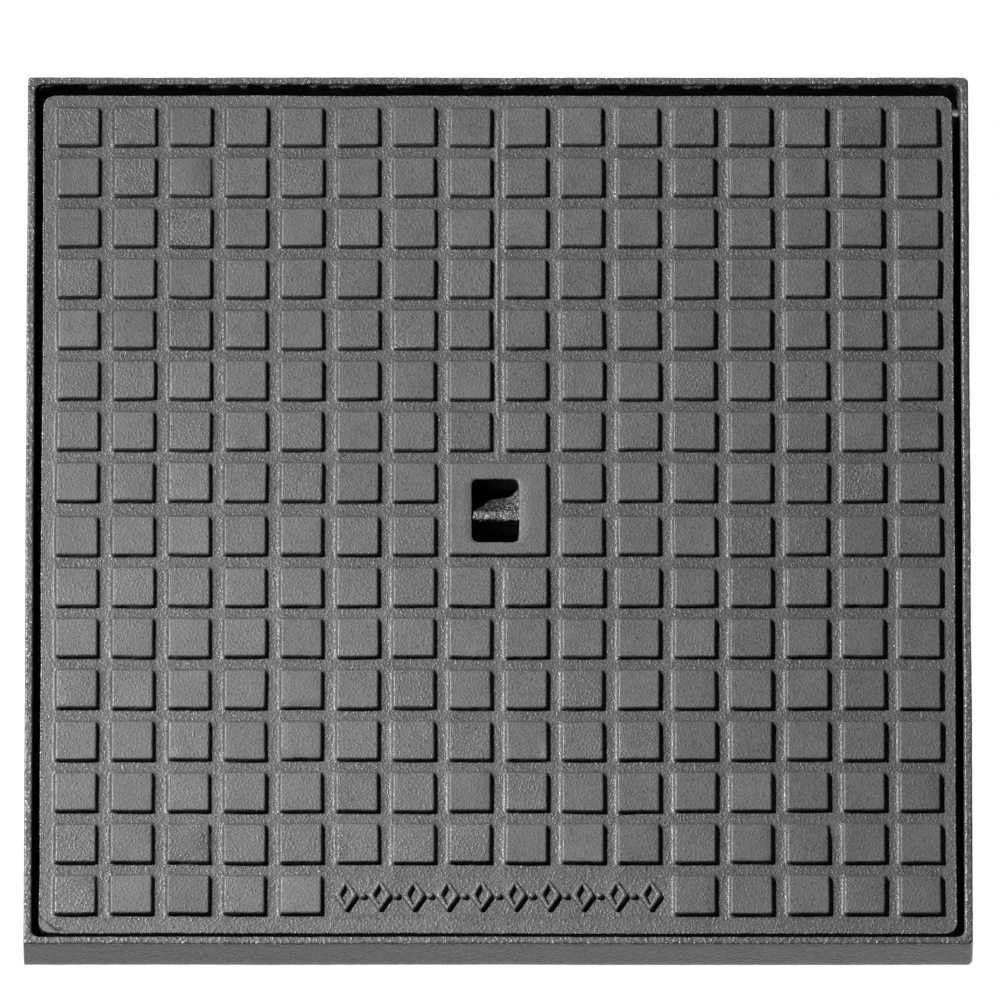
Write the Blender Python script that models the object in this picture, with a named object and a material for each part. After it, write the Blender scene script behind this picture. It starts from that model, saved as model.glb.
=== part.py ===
"""A square ductile-iron manhole cover in its frame, nominal size 600 x 600 mm.

Two castings. The frame is a ring of L section: a thin upstand wall with a seat ledge at its
foot. The cover is a shallow inverted tray: a plate with a 16 x 16 grid of raised treads, a
skirt that stands on the frame's seat, ribs underneath, and a lifting keyhole in the middle,
walled by a collar and crossed by a cast bridge that the lifting key hooks under.

Metres, +Z up. The origin is on the ground at the middle of the frame, +X runs to the right
along a row of treads, and the row with the cast ornament is the one nearest -Y.
"""

import math

import bmesh
import bpy
from mathutils import Vector

# Frame
FRAME_SIZE = 0.600
FRAME_HEIGHT = 0.035
FRAME_WALL = 0.0050
FRAME_WALL_DRAFT = 0.0012
FRAME_CORNER_RADIUS = 0.0035
FRAME_INNER_RADIUS = 0.0055
EDGE_CHAMFER = 0.0006
SEAT_WIDTH = 0.0220
SEAT_THICKNESS = 0.0060
SEAT_FILLET = 0.0015
OPENING_CORNER_RADIUS = 0.0250

# Fit of the cover in the frame
COVER_GAP = 0.0050
COVER_SHIFT_Y = -0.0015
SEAT_CLEARANCE = 0.0003

# Cover
COVER_CORNER_RADIUS = 0.0080
COVER_DRAFT = 0.0015
PLATE_THICKNESS = 0.0060
SKIRT_WALL = 0.0080

# Treads, the raised squares
TREAD_COUNT = 16
TREAD_BORDER = 0.0101
TREAD_GAP = 0.0105
TREAD_ROW_GAP = 0.0102
TREAD_SPLIT = 0.0017
TREAD_SHIFT_Y = 0.0014
TREAD_HEIGHT = 0.0035
TREAD_DRAFT = 0.0021
SUNK = 0.0010

# Ornament, which takes the place of some treads in the front row
ORNAMENT_TREADS = 6
LOZENGE_COUNT = 10
LOZENGE_INSET = 0.0018
LOZENGE_SPACING = 0.0068
LOZENGE_STROKE = 0.0038
PIP_RADIUS = 0.0019
PIP_SIDES = 8
ORNAMENT_HEIGHT = 0.0028
ORNAMENT_DRAFT = 0.0008

# Ribs
RIB_SPACING = 0.1450
RIB_ROOT = 0.0064
RIB_TIP = 0.0044
RIB_TAPER_LENGTH = 0.0900
RIB_TAPER_RISE = 0.0060

# Keyhole, the collar round it and the bridge across it
KEYHOLE_WIDTH = 0.0305
KEYHOLE_LENGTH = 0.0440
KEYHOLE_RADIUS = 0.0042
KEYHOLE_DRAFT = 0.0012
KEYHOLE_SHIFT_X = -0.0016
COLLAR_WALL = 0.0050
COLLAR_CLEARANCE = 0.0030
BRIDGE_SHIFT_Y = -0.0032
BRIDGE_TOP_WIDTH = 0.0060
BRIDGE_DROP = 0.0016
BRIDGE_DEPTH = 0.0200
BRIDGE_RAMP = 0.0125
BRIDGE_NOSE = 0.0020
BRIDGE_EMBED = 0.0030

ROUND_STEPS = 4

# Sizes that follow from those above
SEAT_TOP = SEAT_THICKNESS
COVER_SIZE = FRAME_SIZE - 2 * (FRAME_WALL + COVER_GAP)
COVER_BOTTOM = SEAT_TOP + SEAT_CLEARANCE
PLATE_TOP = FRAME_HEIGHT - TREAD_HEIGHT
PLATE_BOTTOM = PLATE_TOP - PLATE_THICKNESS
TREAD_SIZE = (COVER_SIZE - 2 * TREAD_BORDER - (TREAD_COUNT - 1) * TREAD_GAP) / TREAD_COUNT
TREAD_PITCH = TREAD_SIZE + TREAD_GAP
TREAD_ROW_PITCH = TREAD_SIZE + TREAD_ROW_GAP
SKIRT_INSIDE = COVER_SIZE / 2 - SKIRT_WALL
LOZENGE_PITCH = ORNAMENT_TREADS * TREAD_PITCH / LOZENGE_COUNT
LOZENGE_HALF_LENGTH = TREAD_SIZE / 2 - LOZENGE_INSET
LOZENGE_HALF_WIDTH = (LOZENGE_PITCH - LOZENGE_SPACING) / 2

IRON_COLOUR = (0.165, 0.170, 0.172, 1.0)
FRAME_COLOUR = (0.150, 0.156, 0.158, 1.0)


def clear_scene():
    """Remove every object, so that the file starts empty."""
    for existing in list(bpy.data.objects):
        bpy.data.objects.remove(existing, do_unlink=True)


def paint(name, colour, roughness):
    """A bitumen-painted iron finish."""
    material = bpy.data.materials.new(name)
    material.use_nodes = True
    shader = material.node_tree.nodes["Principled BSDF"]
    shader.inputs["Base Color"].default_value = colour
    shader.inputs["Roughness"].default_value = roughness
    shader.inputs["Metallic"].default_value = 0.35
    material.diffuse_color = colour
    return material


def outline(half_x, half_y, z, radius=0.0, centre=(0.0, 0.0)):
    """Points round a rectangle, anticlockwise from above, with an arc at each corner."""
    points = []
    steps = ROUND_STEPS if radius > 0 else 0
    for turn, (side_x, side_y) in enumerate(((1, 1), (-1, 1), (-1, -1), (1, -1))):
        middle = Vector((
            centre[0] + side_x * (half_x - radius),
            centre[1] + side_y * (half_y - radius),
            z,
        ))
        for step in range(steps + 1):
            angle = math.pi / 2 * (turn + (step / steps if steps else 0.5))
            points.append(middle + radius * Vector((math.cos(angle), math.sin(angle), 0)))
    return points


def loft(shape, loops, ring=False):
    """Join loops of equal length by faces. A ring closes on its first loop, a solid has caps."""
    rows = [[shape.verts.new(point) for point in loop] for loop in loops]
    pairs = list(zip(rows, rows[1:]))
    if ring:
        pairs.append((rows[-1], rows[0]))
    for lower, upper in pairs:
        count = len(lower)
        for i in range(count):
            following = (i + 1) % count
            shape.faces.new((lower[i], lower[following], upper[following], upper[i]))
    if not ring:
        shape.faces.new(list(reversed(rows[0])))
        shape.faces.new(rows[-1])


def make_object(name, shape, material=None):
    """Turn a bmesh into an object. Without a material it is a cutter or a piece to be joined."""
    bmesh.ops.recalc_face_normals(shape, faces=shape.faces)
    mesh = bpy.data.meshes.new(name)
    shape.to_mesh(mesh)
    shape.free()
    made = bpy.data.objects.new(name, mesh)
    bpy.context.scene.collection.objects.link(made)
    if material:
        mesh.materials.append(material)
        mesh.shade_smooth()
        mesh.set_sharp_from_angle(angle=math.radians(35))
    else:
        made.hide_render = True
        made.display_type = "WIRE"
    return made


def combine(target, tool, operation):
    """Add an exact Boolean to the target's modifiers."""
    modifier = target.modifiers.new(tool.name, "BOOLEAN")
    modifier.operation = operation
    modifier.solver = "EXACT"
    modifier.object = tool


def frame_casting(material):
    """The frame: its L section, carried round the square with mitred, rounded corners."""
    wall_foot = FRAME_WALL + FRAME_WALL_DRAFT
    seat_end = FRAME_WALL + SEAT_WIDTH
    section = (
        # inset from the outer face, height, corner radius
        (0.0, 0.0, FRAME_CORNER_RADIUS),
        (0.0, FRAME_HEIGHT - EDGE_CHAMFER, FRAME_CORNER_RADIUS),
        (EDGE_CHAMFER, FRAME_HEIGHT, FRAME_CORNER_RADIUS),
        (FRAME_WALL - EDGE_CHAMFER, FRAME_HEIGHT, FRAME_INNER_RADIUS),
        (FRAME_WALL, FRAME_HEIGHT - EDGE_CHAMFER, FRAME_INNER_RADIUS),
        (wall_foot, SEAT_TOP + SEAT_FILLET, FRAME_INNER_RADIUS),
        (wall_foot + SEAT_FILLET, SEAT_TOP, FRAME_INNER_RADIUS),
        (seat_end - EDGE_CHAMFER, SEAT_TOP, OPENING_CORNER_RADIUS),
        (seat_end, SEAT_TOP - EDGE_CHAMFER, OPENING_CORNER_RADIUS),
        (seat_end, 0.0, OPENING_CORNER_RADIUS),
    )
    shape = bmesh.new()
    loft(shape, [
        outline(FRAME_SIZE / 2 - inset, FRAME_SIZE / 2 - inset, height, radius)
        for inset, height, radius in section
    ], ring=True)
    return make_object("frame", shape, material)


def cover_blank(material):
    """The cover before anything is cut from it or raised on it: a drafted slab."""
    half = COVER_SIZE / 2
    shape = bmesh.new()
    loft(shape, [
        outline(side, side, height, COVER_CORNER_RADIUS)
        for side, height in (
            (half - COVER_DRAFT, COVER_BOTTOM),
            (half, PLATE_TOP - EDGE_CHAMFER),
            (half - EDGE_CHAMFER, PLATE_TOP),
        )
    ])
    return make_object("cover", shape, material)


def column_middle(index):
    """Where a column of treads lies, from left to right."""
    return (index - (TREAD_COUNT - 1) / 2) * TREAD_PITCH


def row_middle(index):
    """Where a row of treads lies, from front to back. The gap in the middle is the widest."""
    steps = index - (TREAD_COUNT - 1) / 2
    return TREAD_SHIFT_Y + steps * TREAD_ROW_PITCH + math.copysign(TREAD_SPLIT / 2, steps)


def raised_block(shape, half_x, half_y, centre):
    """A tread: flat on top, with drafted sides that run down a little into the plate."""
    spread_at_foot = TREAD_DRAFT * (TREAD_HEIGHT + SUNK) / TREAD_HEIGHT
    loft(shape, [
        outline(half_x + spread_at_foot, half_y + spread_at_foot, PLATE_TOP - SUNK, centre=centre),
        outline(half_x, half_y, FRAME_HEIGHT, centre=centre),
    ])


def tread_grid():
    """All the treads. Four in the middle are one larger block, and the ornament has no treads."""
    middle_pair = (TREAD_COUNT // 2 - 1, TREAD_COUNT // 2)
    first_left_out = (TREAD_COUNT - ORNAMENT_TREADS) // 2
    left_out = range(first_left_out, first_left_out + ORNAMENT_TREADS)
    shape = bmesh.new()
    for row in range(TREAD_COUNT):
        for column in range(TREAD_COUNT):
            in_middle = row in middle_pair and column in middle_pair
            in_ornament = row == 0 and column in left_out
            if not in_middle and not in_ornament:
                centre = (column_middle(column), row_middle(row))
                raised_block(shape, TREAD_SIZE / 2, TREAD_SIZE / 2, centre)
    half_x = (TREAD_PITCH + TREAD_SIZE) / 2
    half_y = (TREAD_ROW_PITCH + TREAD_SPLIT + TREAD_SIZE) / 2
    raised_block(shape, half_x, half_y, (0.0, TREAD_SHIFT_Y))
    return make_object("treads", shape)


def lozenge(half_length, half_width, z, centre):
    """Four points of a lozenge, longer along Y."""
    return [
        Vector((centre[0] + x * half_width, centre[1] + y * half_length, z))
        for x, y in ((1, 0), (0, 1), (-1, 0), (0, -1))
    ]


def ornament():
    """A row of open lozenges with a pip between each pair, where the front treads are left out."""
    row_y = row_middle(0)
    top = PLATE_TOP + ORNAMENT_HEIGHT
    foot = PLATE_TOP - SUNK
    shape = bmesh.new()
    for place in range(LOZENGE_COUNT):
        centre = ((place - (LOZENGE_COUNT - 1) / 2) * LOZENGE_PITCH, row_y)
        sizes = (
            # change from the outer size, height
            (ORNAMENT_DRAFT, foot),
            (-ORNAMENT_DRAFT, top),
            (ORNAMENT_DRAFT - LOZENGE_STROKE, top),
            (-ORNAMENT_DRAFT - LOZENGE_STROKE, foot),
        )
        loft(shape, [
            lozenge(LOZENGE_HALF_LENGTH + change, LOZENGE_HALF_WIDTH + change, z, centre)
            for change, z in sizes
        ], ring=True)
    for place in range(LOZENGE_COUNT - 1):
        centre = Vector(((place - LOZENGE_COUNT / 2 + 1) * LOZENGE_PITCH, row_y, 0))
        loops = []
        for radius, z in ((PIP_RADIUS + ORNAMENT_DRAFT, foot), (PIP_RADIUS - ORNAMENT_DRAFT, top)):
            loops.append([
                centre + Vector((
                    radius * math.cos(math.tau * side / PIP_SIDES),
                    radius * math.sin(math.tau * side / PIP_SIDES),
                    z,
                ))
                for side in range(PIP_SIDES)
            ])
        loft(shape, loops)
    return make_object("ornament", shape)


def rib_pockets():
    """The hollows under the plate. What stands between them is the skirt and the ribs."""
    edge = SKIRT_INSIDE + RIB_TIP / 2
    lines = (-edge, -RIB_SPACING, 0.0, RIB_SPACING, edge)
    shape = bmesh.new()
    for front, back in zip(lines, lines[1:]):
        for left, right in zip(lines, lines[1:]):
            pocket(shape, left, right, front, back)
    return make_object("rib_pockets", shape)


def pocket(shape, left, right, front, back):
    """One hollow between rib centre lines, a little narrower at its roof than at its mouth."""
    centre = ((left + right) / 2, (front + back) / 2)
    half_x = (right - left) / 2
    half_y = (back - front) / 2
    slope = (RIB_ROOT - RIB_TIP) / 2 / (PLATE_BOTTOM - COVER_BOTTOM)
    mouth = -RIB_TIP / 2 + slope * SUNK
    roof = -RIB_ROOT / 2
    loft(shape, [
        outline(half_x + mouth, half_y + mouth, COVER_BOTTOM - SUNK, centre=centre),
        outline(half_x + roof, half_y + roof, PLATE_BOTTOM, centre=centre),
    ])


def rib_taper():
    """A three-sided ring that makes the ribs shallower towards the skirt."""
    inner = SKIRT_INSIDE - RIB_TAPER_LENGTH
    shape = bmesh.new()
    loft(shape, [
        outline(SKIRT_INSIDE, SKIRT_INSIDE, COVER_BOTTOM - SUNK),
        outline(SKIRT_INSIDE, SKIRT_INSIDE, COVER_BOTTOM + RIB_TAPER_RISE),
        outline(inner, inner, COVER_BOTTOM - SUNK),
    ], ring=True)
    return make_object("rib_taper", shape)


def collar():
    """The wall round the keyhole, from the plate down to a little above the ribs' tips."""
    shape = bmesh.new()
    loft(shape, [
        outline(
            KEYHOLE_WIDTH / 2 + COLLAR_WALL, KEYHOLE_LENGTH / 2 + COLLAR_WALL, z,
            KEYHOLE_RADIUS + COLLAR_WALL, (KEYHOLE_SHIFT_X, 0.0),
        )
        for z in (COVER_BOTTOM + COLLAR_CLEARANCE, PLATE_BOTTOM + SUNK)
    ])
    return make_object("collar", shape)


def keyhole():
    """The lifting hole, cut through the middle tread, the plate and the collar."""
    draft = KEYHOLE_DRAFT / (FRAME_HEIGHT - COVER_BOTTOM)
    shape = bmesh.new()
    loft(shape, [
        outline(
            KEYHOLE_WIDTH / 2 - draft * depth, KEYHOLE_LENGTH / 2 - draft * depth,
            FRAME_HEIGHT - depth, KEYHOLE_RADIUS, (KEYHOLE_SHIFT_X, 0.0),
        )
        for depth in (FRAME_HEIGHT - COVER_BOTTOM + SUNK, -SUNK)
    ])
    return make_object("keyhole", shape)


def bridge():
    """The bar across the keyhole: upright in front, for the key, and ramped at the back."""
    half = BRIDGE_TOP_WIDTH / 2
    section = (
        # along Y from the bar's middle, depth below its top
        (-half, BRIDGE_DEPTH),
        (-half, 0.0),
        (half, 0.0),
        (half + BRIDGE_RAMP, BRIDGE_RAMP),
        (half + BRIDGE_RAMP, BRIDGE_RAMP + BRIDGE_NOSE),
        (half, BRIDGE_DEPTH),
    )
    half_length = KEYHOLE_WIDTH / 2 + BRIDGE_EMBED
    top = FRAME_HEIGHT - BRIDGE_DROP
    shape = bmesh.new()
    loft(shape, [
        [Vector((KEYHOLE_SHIFT_X + x, BRIDGE_SHIFT_Y + y, top - depth)) for y, depth in section]
        for x in (-half_length, half_length)
    ])
    return make_object("bridge", shape)


def cover_casting(material):
    """The cover, built up as a pattern maker would, from the slab to the bridge."""
    cover = cover_blank(material)
    steps = (
        (rib_pockets, "DIFFERENCE"),
        (rib_taper, "DIFFERENCE"),
        (collar, "UNION"),
        (tread_grid, "UNION"),
        (ornament, "UNION"),
        (keyhole, "DIFFERENCE"),
        (bridge, "UNION"),
    )
    for make_tool, operation in steps:
        tool = make_tool()
        tool.parent = cover
        combine(cover, tool, operation)
    cover.location.y = COVER_SHIFT_Y
    return cover


def main():
    clear_scene()
    frame_casting(paint("frame_paint", FRAME_COLOUR, 0.5))
    cover_casting(paint("cover_paint", IRON_COLOUR, 0.45))


main()
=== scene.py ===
"""Looks of a square cast iron manhole cover that lies in its frame.

The cover and the frame are sand castings under black bitumen paint. Each is one closed skin,
built from a grid or a swept section and roughened as a casting is: treads of slightly unequal
height, edges that waver, a mould seam, a few spoiled treads, and a corner where the lip broke.
"""

import logging
import math
from collections.abc import Sequence
from dataclasses import dataclass, field
from enum import Enum

import bmesh
import bpy
import numpy as np
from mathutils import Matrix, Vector


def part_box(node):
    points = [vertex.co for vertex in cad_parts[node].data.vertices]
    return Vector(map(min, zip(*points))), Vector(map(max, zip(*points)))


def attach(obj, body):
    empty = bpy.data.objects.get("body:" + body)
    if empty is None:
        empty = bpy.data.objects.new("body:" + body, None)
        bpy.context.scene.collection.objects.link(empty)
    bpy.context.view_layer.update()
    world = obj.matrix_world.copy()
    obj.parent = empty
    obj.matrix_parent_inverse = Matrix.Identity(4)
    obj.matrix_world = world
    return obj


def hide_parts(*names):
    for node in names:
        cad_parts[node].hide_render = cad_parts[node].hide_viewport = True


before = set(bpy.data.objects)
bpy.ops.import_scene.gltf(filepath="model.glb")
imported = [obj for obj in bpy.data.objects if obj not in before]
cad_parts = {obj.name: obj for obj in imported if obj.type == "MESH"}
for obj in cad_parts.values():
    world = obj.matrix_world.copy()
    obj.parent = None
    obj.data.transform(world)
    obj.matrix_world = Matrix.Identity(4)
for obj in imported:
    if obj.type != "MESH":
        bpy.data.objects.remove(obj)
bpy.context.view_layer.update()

LOG = logging.getLogger("manhole_cover")
MM = 0.001
Colour = tuple[float, float, float, float]


def smooth_step(value: np.ndarray) -> np.ndarray:
    """Ease from 0 to 1 as value goes from 0 to 1."""
    share = np.clip(value, 0.0, 1.0)
    return share * share * (3.0 - 2.0 * share)


def smooth_ramp(value: np.ndarray, width: float) -> np.ndarray:
    """Zero below zero and value above it, with the corner rounded over width each way."""
    rounded = (value + width) ** 2 / (4.0 * width)
    return np.where(value < -width, 0.0, np.where(value > width, value, rounded))


def show(made: bpy.types.Object) -> bpy.types.Object:
    """Link a new object to the scene, and give it back."""
    bpy.context.scene.collection.objects.link(made)
    return made


def tent(value: np.ndarray, centre: float | np.ndarray, reach: float) -> np.ndarray:
    """One where value is centre, falling evenly to zero at reach to either side."""
    return np.clip(1 - np.abs(value - centre) / reach, 0, 1)


class SmoothNoise:
    """Value noise over a plane, the same in every run."""

    def __init__(self, seed: int, cells: int = 128) -> None:
        """Fill the lattice.

        Args:
            seed: Seed of the random numbers.
            cells: Cells along each side before the pattern repeats.
        """
        self.cells = cells
        self.lattice = np.random.default_rng(seed).uniform(-1.0, 1.0, (cells, cells))

    def at(self, x: np.ndarray, y: np.ndarray, wavelength: float) -> np.ndarray:
        """Read the noise.

        Args:
            x: Places along X, in metres.
            y: Places along Y, in metres, in the same shape.
            wavelength: Size of one cell of the pattern, in metres.

        Returns:
            Values from -1 to 1.
        """
        across, along = x / wavelength, y / wavelength
        column, row = np.floor(across).astype(int), np.floor(along).astype(int)
        ease_x = smooth_step(across - column)
        ease_y = smooth_step(along - row)
        left, right = column % self.cells, (column + 1) % self.cells
        low, high = row % self.cells, (row + 1) % self.cells
        front = self.lattice[low, left] * (1 - ease_x) + self.lattice[low, right] * ease_x
        back = self.lattice[high, left] * (1 - ease_x) + self.lattice[high, right] * ease_x
        return front * (1 - ease_y) + back * ease_y

    def layered(self, x: np.ndarray, y: np.ndarray, wavelength: float) -> np.ndarray:
        """Three layers of the noise, each half as large and half as strong as the last."""
        total = self.at(x, y, wavelength)
        total = total + 0.5 * self.at(x + 0.31, y + 0.17, wavelength / 2)
        return (total + 0.25 * self.at(x + 0.07, y + 0.43, wavelength / 4)) / 1.5


@dataclass(frozen=True)
class RoundedRectangle:
    """A rectangle with round corners, seen from above."""

    half_x: float
    half_y: float
    radius: float
    centre_x: float = 0.0
    centre_y: float = 0.0

    def pull_in_corners(self, x: np.ndarray, y: np.ndarray) -> tuple[np.ndarray, np.ndarray]:
        """Move the points of a square-cornered grid so that its rim follows the round corners.

        Args:
            x: Places along X, up to the rectangle's own edge.
            y: Places along Y.

        Returns:
            The moved places. Only points in the four corner squares move.
        """
        from_x, from_y = x - self.centre_x, y - self.centre_y
        over_x = np.maximum(np.abs(from_x) - (self.half_x - self.radius), 0.0)
        over_y = np.maximum(np.abs(from_y) - (self.half_y - self.radius), 0.0)
        length = np.hypot(over_x, over_y)
        share = np.maximum(over_x, over_y) / np.where(length > 0, length, 1.0)
        share = np.where(length > 0, share, 1.0)
        moved_x = x - np.sign(from_x) * over_x * (1 - share)
        moved_y = y - np.sign(from_y) * over_y * (1 - share)
        return moved_x, moved_y

    def outward(self, x: np.ndarray, y: np.ndarray) -> tuple[np.ndarray, np.ndarray]:
        """Unit directions that lead straight out of the outline, for points that lie near it."""
        from_x, from_y = x - self.centre_x, y - self.centre_y
        over_x = np.abs(from_x) - (self.half_x - self.radius)
        over_y = np.abs(from_y) - (self.half_y - self.radius)
        in_corner = (over_x > 0) & (over_y > 0)
        on_side = over_x > over_y
        out_x = np.where(in_corner, over_x, on_side.astype(float)) * np.sign(from_x)
        out_y = np.where(in_corner, over_y, (~on_side).astype(float)) * np.sign(from_y)
        length = np.hypot(out_x, out_y)
        return out_x / length, out_y / length

    def grown(self, by: float) -> "RoundedRectangle":
        """The same outline moved outwards by a distance."""
        return RoundedRectangle(
            self.half_x + by, self.half_y + by, self.radius + by, self.centre_x, self.centre_y
        )


@dataclass
class CastSkin:
    """Points, faces and surface marks of one casting while it is being built."""

    points: list[np.ndarray] = field(default_factory=list)
    smooth: list[np.ndarray] = field(default_factory=list)
    tone: list[np.ndarray] = field(default_factory=list)
    faces: list[tuple[int, ...]] = field(default_factory=list)
    count: int = 0

    def add(self, points: np.ndarray, smooth: np.ndarray | float, tone: np.ndarray | float) -> np.ndarray:
        """Add points.

        Args:
            points: Places, one row each.
            smooth: How smooth the skin is there: 1 for a worn face, 0 for raw sand, less for rougher.
            tone: How much lighter or darker the paint is there, painted light and shade among it. Below about
                -1 it turns to near black, painted shade.

        Returns:
            The new points' numbers.
        """
        size = len(points)
        self.points.append(np.asarray(points, float))
        self.smooth.append(np.broadcast_to(np.asarray(smooth, float), (size,)))
        self.tone.append(np.broadcast_to(np.asarray(tone, float), (size,)))
        self.count += size
        return np.arange(self.count - size, self.count)

    def add_quads(self, first: np.ndarray, second: np.ndarray, third: np.ndarray, fourth: np.ndarray) -> None:
        """Add four-sided faces from four arrays of point numbers."""
        corners = np.stack([first.ravel(), second.ravel(), third.ravel(), fourth.ravel()], axis=1)
        self.faces.extend(map(tuple, corners.tolist()))

    def join_rings(self, lower: np.ndarray, upper: np.ndarray) -> None:
        """Join two closed rings of equal length by faces."""
        self.add_quads(lower, np.roll(lower, -1), np.roll(upper, -1), upper)

    def join_all(self, rings: Sequence[np.ndarray], closed: bool = False) -> None:
        """Join each ring to the next by faces, and the last to the first if closed."""
        following = list(rings[1:]) + (list(rings[:1]) if closed else [])
        for lower, upper in zip(rings, following):
            self.join_rings(lower, upper)

    def join_unequal_rings(
        self, one: np.ndarray, one_at: np.ndarray, other: np.ndarray, other_at: np.ndarray
    ) -> None:
        """Join two closed rings of different lengths by triangles.

        Args:
            one: Point numbers round the first ring.
            one_at: How far round each of its points lies, from 0 up to 1.
            other: Point numbers round the second ring, from the same corner the same way.
            other_at: How far round each of those lies.
        """
        i = j = 0
        while i < len(one) or j < len(other):
            one_next = one_at[i + 1] if i + 1 < len(one) else 1.0
            other_next = other_at[j + 1] if j + 1 < len(other) else 1.0
            here, there = int(one[i % len(one)]), int(other[j % len(other)])
            if j >= len(other) or (i < len(one) and one_next <= other_next):
                i += 1
                self.faces.append((here, int(one[i % len(one)]), there))
            else:
                j += 1
                self.faces.append((here, int(other[j % len(other)]), there))

    def to_object(self, name: str, origin: Vector) -> bpy.types.Object:
        """Make the object.

        Args:
            name: The piece's name.
            origin: Where the skin's own zero lies in the model.

        Returns:
            The new object, linked to the scene, with its marks as point attributes.
        """
        mesh = bpy.data.meshes.new(name)
        mesh.from_pydata(np.concatenate(self.points) + np.array(origin), [], self.faces)
        for title, values in (("smooth", self.smooth), ("tone", self.tone)):
            attribute = mesh.attributes.new(title, "FLOAT", "POINT")
            attribute.data.foreach_set("value", np.concatenate(values).astype(np.float32))
        shape = bmesh.new()
        shape.from_mesh(mesh)
        loose = [point for point in shape.verts if not point.link_faces]
        bmesh.ops.delete(shape, geom=loose, context="VERTS")
        bmesh.ops.recalc_face_normals(shape, faces=shape.faces)
        shape.to_mesh(mesh)
        shape.free()
        mesh.shade_smooth()
        return show(bpy.data.objects.new(name, mesh))


@dataclass
class GridSheet:
    """A sheet of a casting on a grid of straight lines, perhaps with a hole in it."""

    x_lines: np.ndarray
    y_lines: np.ndarray
    rim: RoundedRectangle
    hole: RoundedRectangle

    def places(self) -> tuple[np.ndarray, np.ndarray]:
        """Where every grid point lies, before its corners are rounded."""
        return np.meshgrid(self.x_lines, self.y_lines)

    def round_off(self, x: np.ndarray, y: np.ndarray) -> tuple[np.ndarray, np.ndarray]:
        """Round the sheet's own corners and the hole's.

        Args:
            x: Places along X, as places() gives them.
            y: Places along Y.

        Returns:
            The places with both sets of corners rounded.
        """
        x, y = self.rim.pull_in_corners(x, y)
        hole = self.hole
        on_hole = self.on_hole_edge()
        over_x = np.abs(x - hole.centre_x) - (hole.half_x - hole.radius)
        over_y = np.abs(y - hole.centre_y) - (hole.half_y - hole.radius)
        in_corner = on_hole & (over_x > 0) & (over_y > 0)
        length = np.where(in_corner, np.hypot(over_x, over_y), 1.0)
        share = np.where(in_corner, 1 - hole.radius / length, 0.0)
        x = x - np.sign(x - hole.centre_x) * over_x * share
        y = y - np.sign(y - hole.centre_y) * over_y * share
        return x, y

    def hole_span(self) -> tuple[int, int, int, int]:
        """First and last line of the hole along X, then along Y."""
        left = int(np.argmin(np.abs(self.x_lines - (self.hole.centre_x - self.hole.half_x))))
        right = int(np.argmin(np.abs(self.x_lines - (self.hole.centre_x + self.hole.half_x))))
        front = int(np.argmin(np.abs(self.y_lines - (self.hole.centre_y - self.hole.half_y))))
        back = int(np.argmin(np.abs(self.y_lines - (self.hole.centre_y + self.hole.half_y))))
        return left, right, front, back

    def on_hole_edge(self) -> np.ndarray:
        """True for the grid points on the hole's edge."""
        left, right, front, back = self.hole_span()
        marked = np.zeros((len(self.y_lines), len(self.x_lines)), bool)
        marked[front:back + 1, left:right + 1] = True
        marked[front + 1:back, left + 1:right] = False
        return marked

    def add_faces(self, skin: CastSkin, numbers: np.ndarray) -> None:
        """Fill the grid with faces, all but the hole."""
        left, right, front, back = self.hole_span()
        kept = np.ones((len(self.y_lines) - 1, len(self.x_lines) - 1), bool)
        kept[front:back, left:right] = False
        skin.add_quads(
            numbers[:-1, :-1][kept], numbers[:-1, 1:][kept],
            numbers[1:, 1:][kept], numbers[1:, :-1][kept],
        )

    @staticmethod
    def ring(
        values: np.ndarray, left: int, right: int, front: int, back: int
    ) -> np.ndarray:
        """Values of a grid taken anticlockwise round a rectangle of its lines."""
        return np.concatenate([
            values[front, left:right],
            values[front:back, right],
            values[back, right:left:-1],
            values[back:front:-1, left],
        ])

    def ring_places(self, left: int, right: int, front: int, back: int) -> np.ndarray:
        """How far round that rectangle each of its points lies, a quarter for each side."""
        def share(lines: np.ndarray) -> np.ndarray:
            return (lines - lines[0]) / (lines[-1] - lines[0])

        across = share(self.x_lines[left:right + 1])
        along = share(self.y_lines[front:back + 1])
        return np.concatenate([
            across[:-1], 1 + along[:-1], 2 + (1 - across[:0:-1]), 3 + (1 - along[:0:-1]),
        ]) / 4

    def rim_span(self) -> tuple[int, int, int, int]:
        """First and last line of the whole grid along X, then along Y."""
        return 0, len(self.x_lines) - 1, 0, len(self.y_lines) - 1


def merge_lines(wanted: Sequence[float], others: Sequence[float], apart: float) -> np.ndarray:
    """Sort grid lines.

    Args:
        wanted: Lines that have to be kept.
        others: Lines that give way where they come close to a wanted one.
        apart: The least distance from a wanted line.

    Returns:
        All the kept lines in order.
    """
    fixed = np.unique(np.round(wanted, 7))
    free = np.unique(np.round(others, 7))
    clear = np.abs(free[:, None] - fixed[None, :]).min(axis=1) > apart
    return np.sort(np.concatenate([fixed, free[clear]]))


def hole_lines(
    middle: float, half: float, radius: float, beyond: Sequence[float] = ()
) -> list[float]:
    """List the grid lines that a hole with round corners needs along one axis.

    Args:
        middle: The hole's middle.
        half: Half its width.
        radius: Its corner radius.
        beyond: Distances outside its edge that get lines too.

    Returns:
        The lines, in no order.
    """
    reaches = [half - radius, half - radius * 0.3, half] + [half + step for step in beyond]
    return [middle + side * reach for side in (-1, 1) for reach in reaches]


class BlemishKind(Enum):
    """How a tread came out of the mould wrong."""

    CRUMBLED = "crumbled"
    SMEARED = "smeared"
    LUMPY = "lumpy"


@dataclass(frozen=True)
class Blemish:
    """A spoiled place on one tread, measured from the tread's middle in half-widths."""

    row: int
    column: int
    kind: BlemishKind
    across: float
    along: float
    reach_x: float
    reach_y: float
    depth: float


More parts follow.
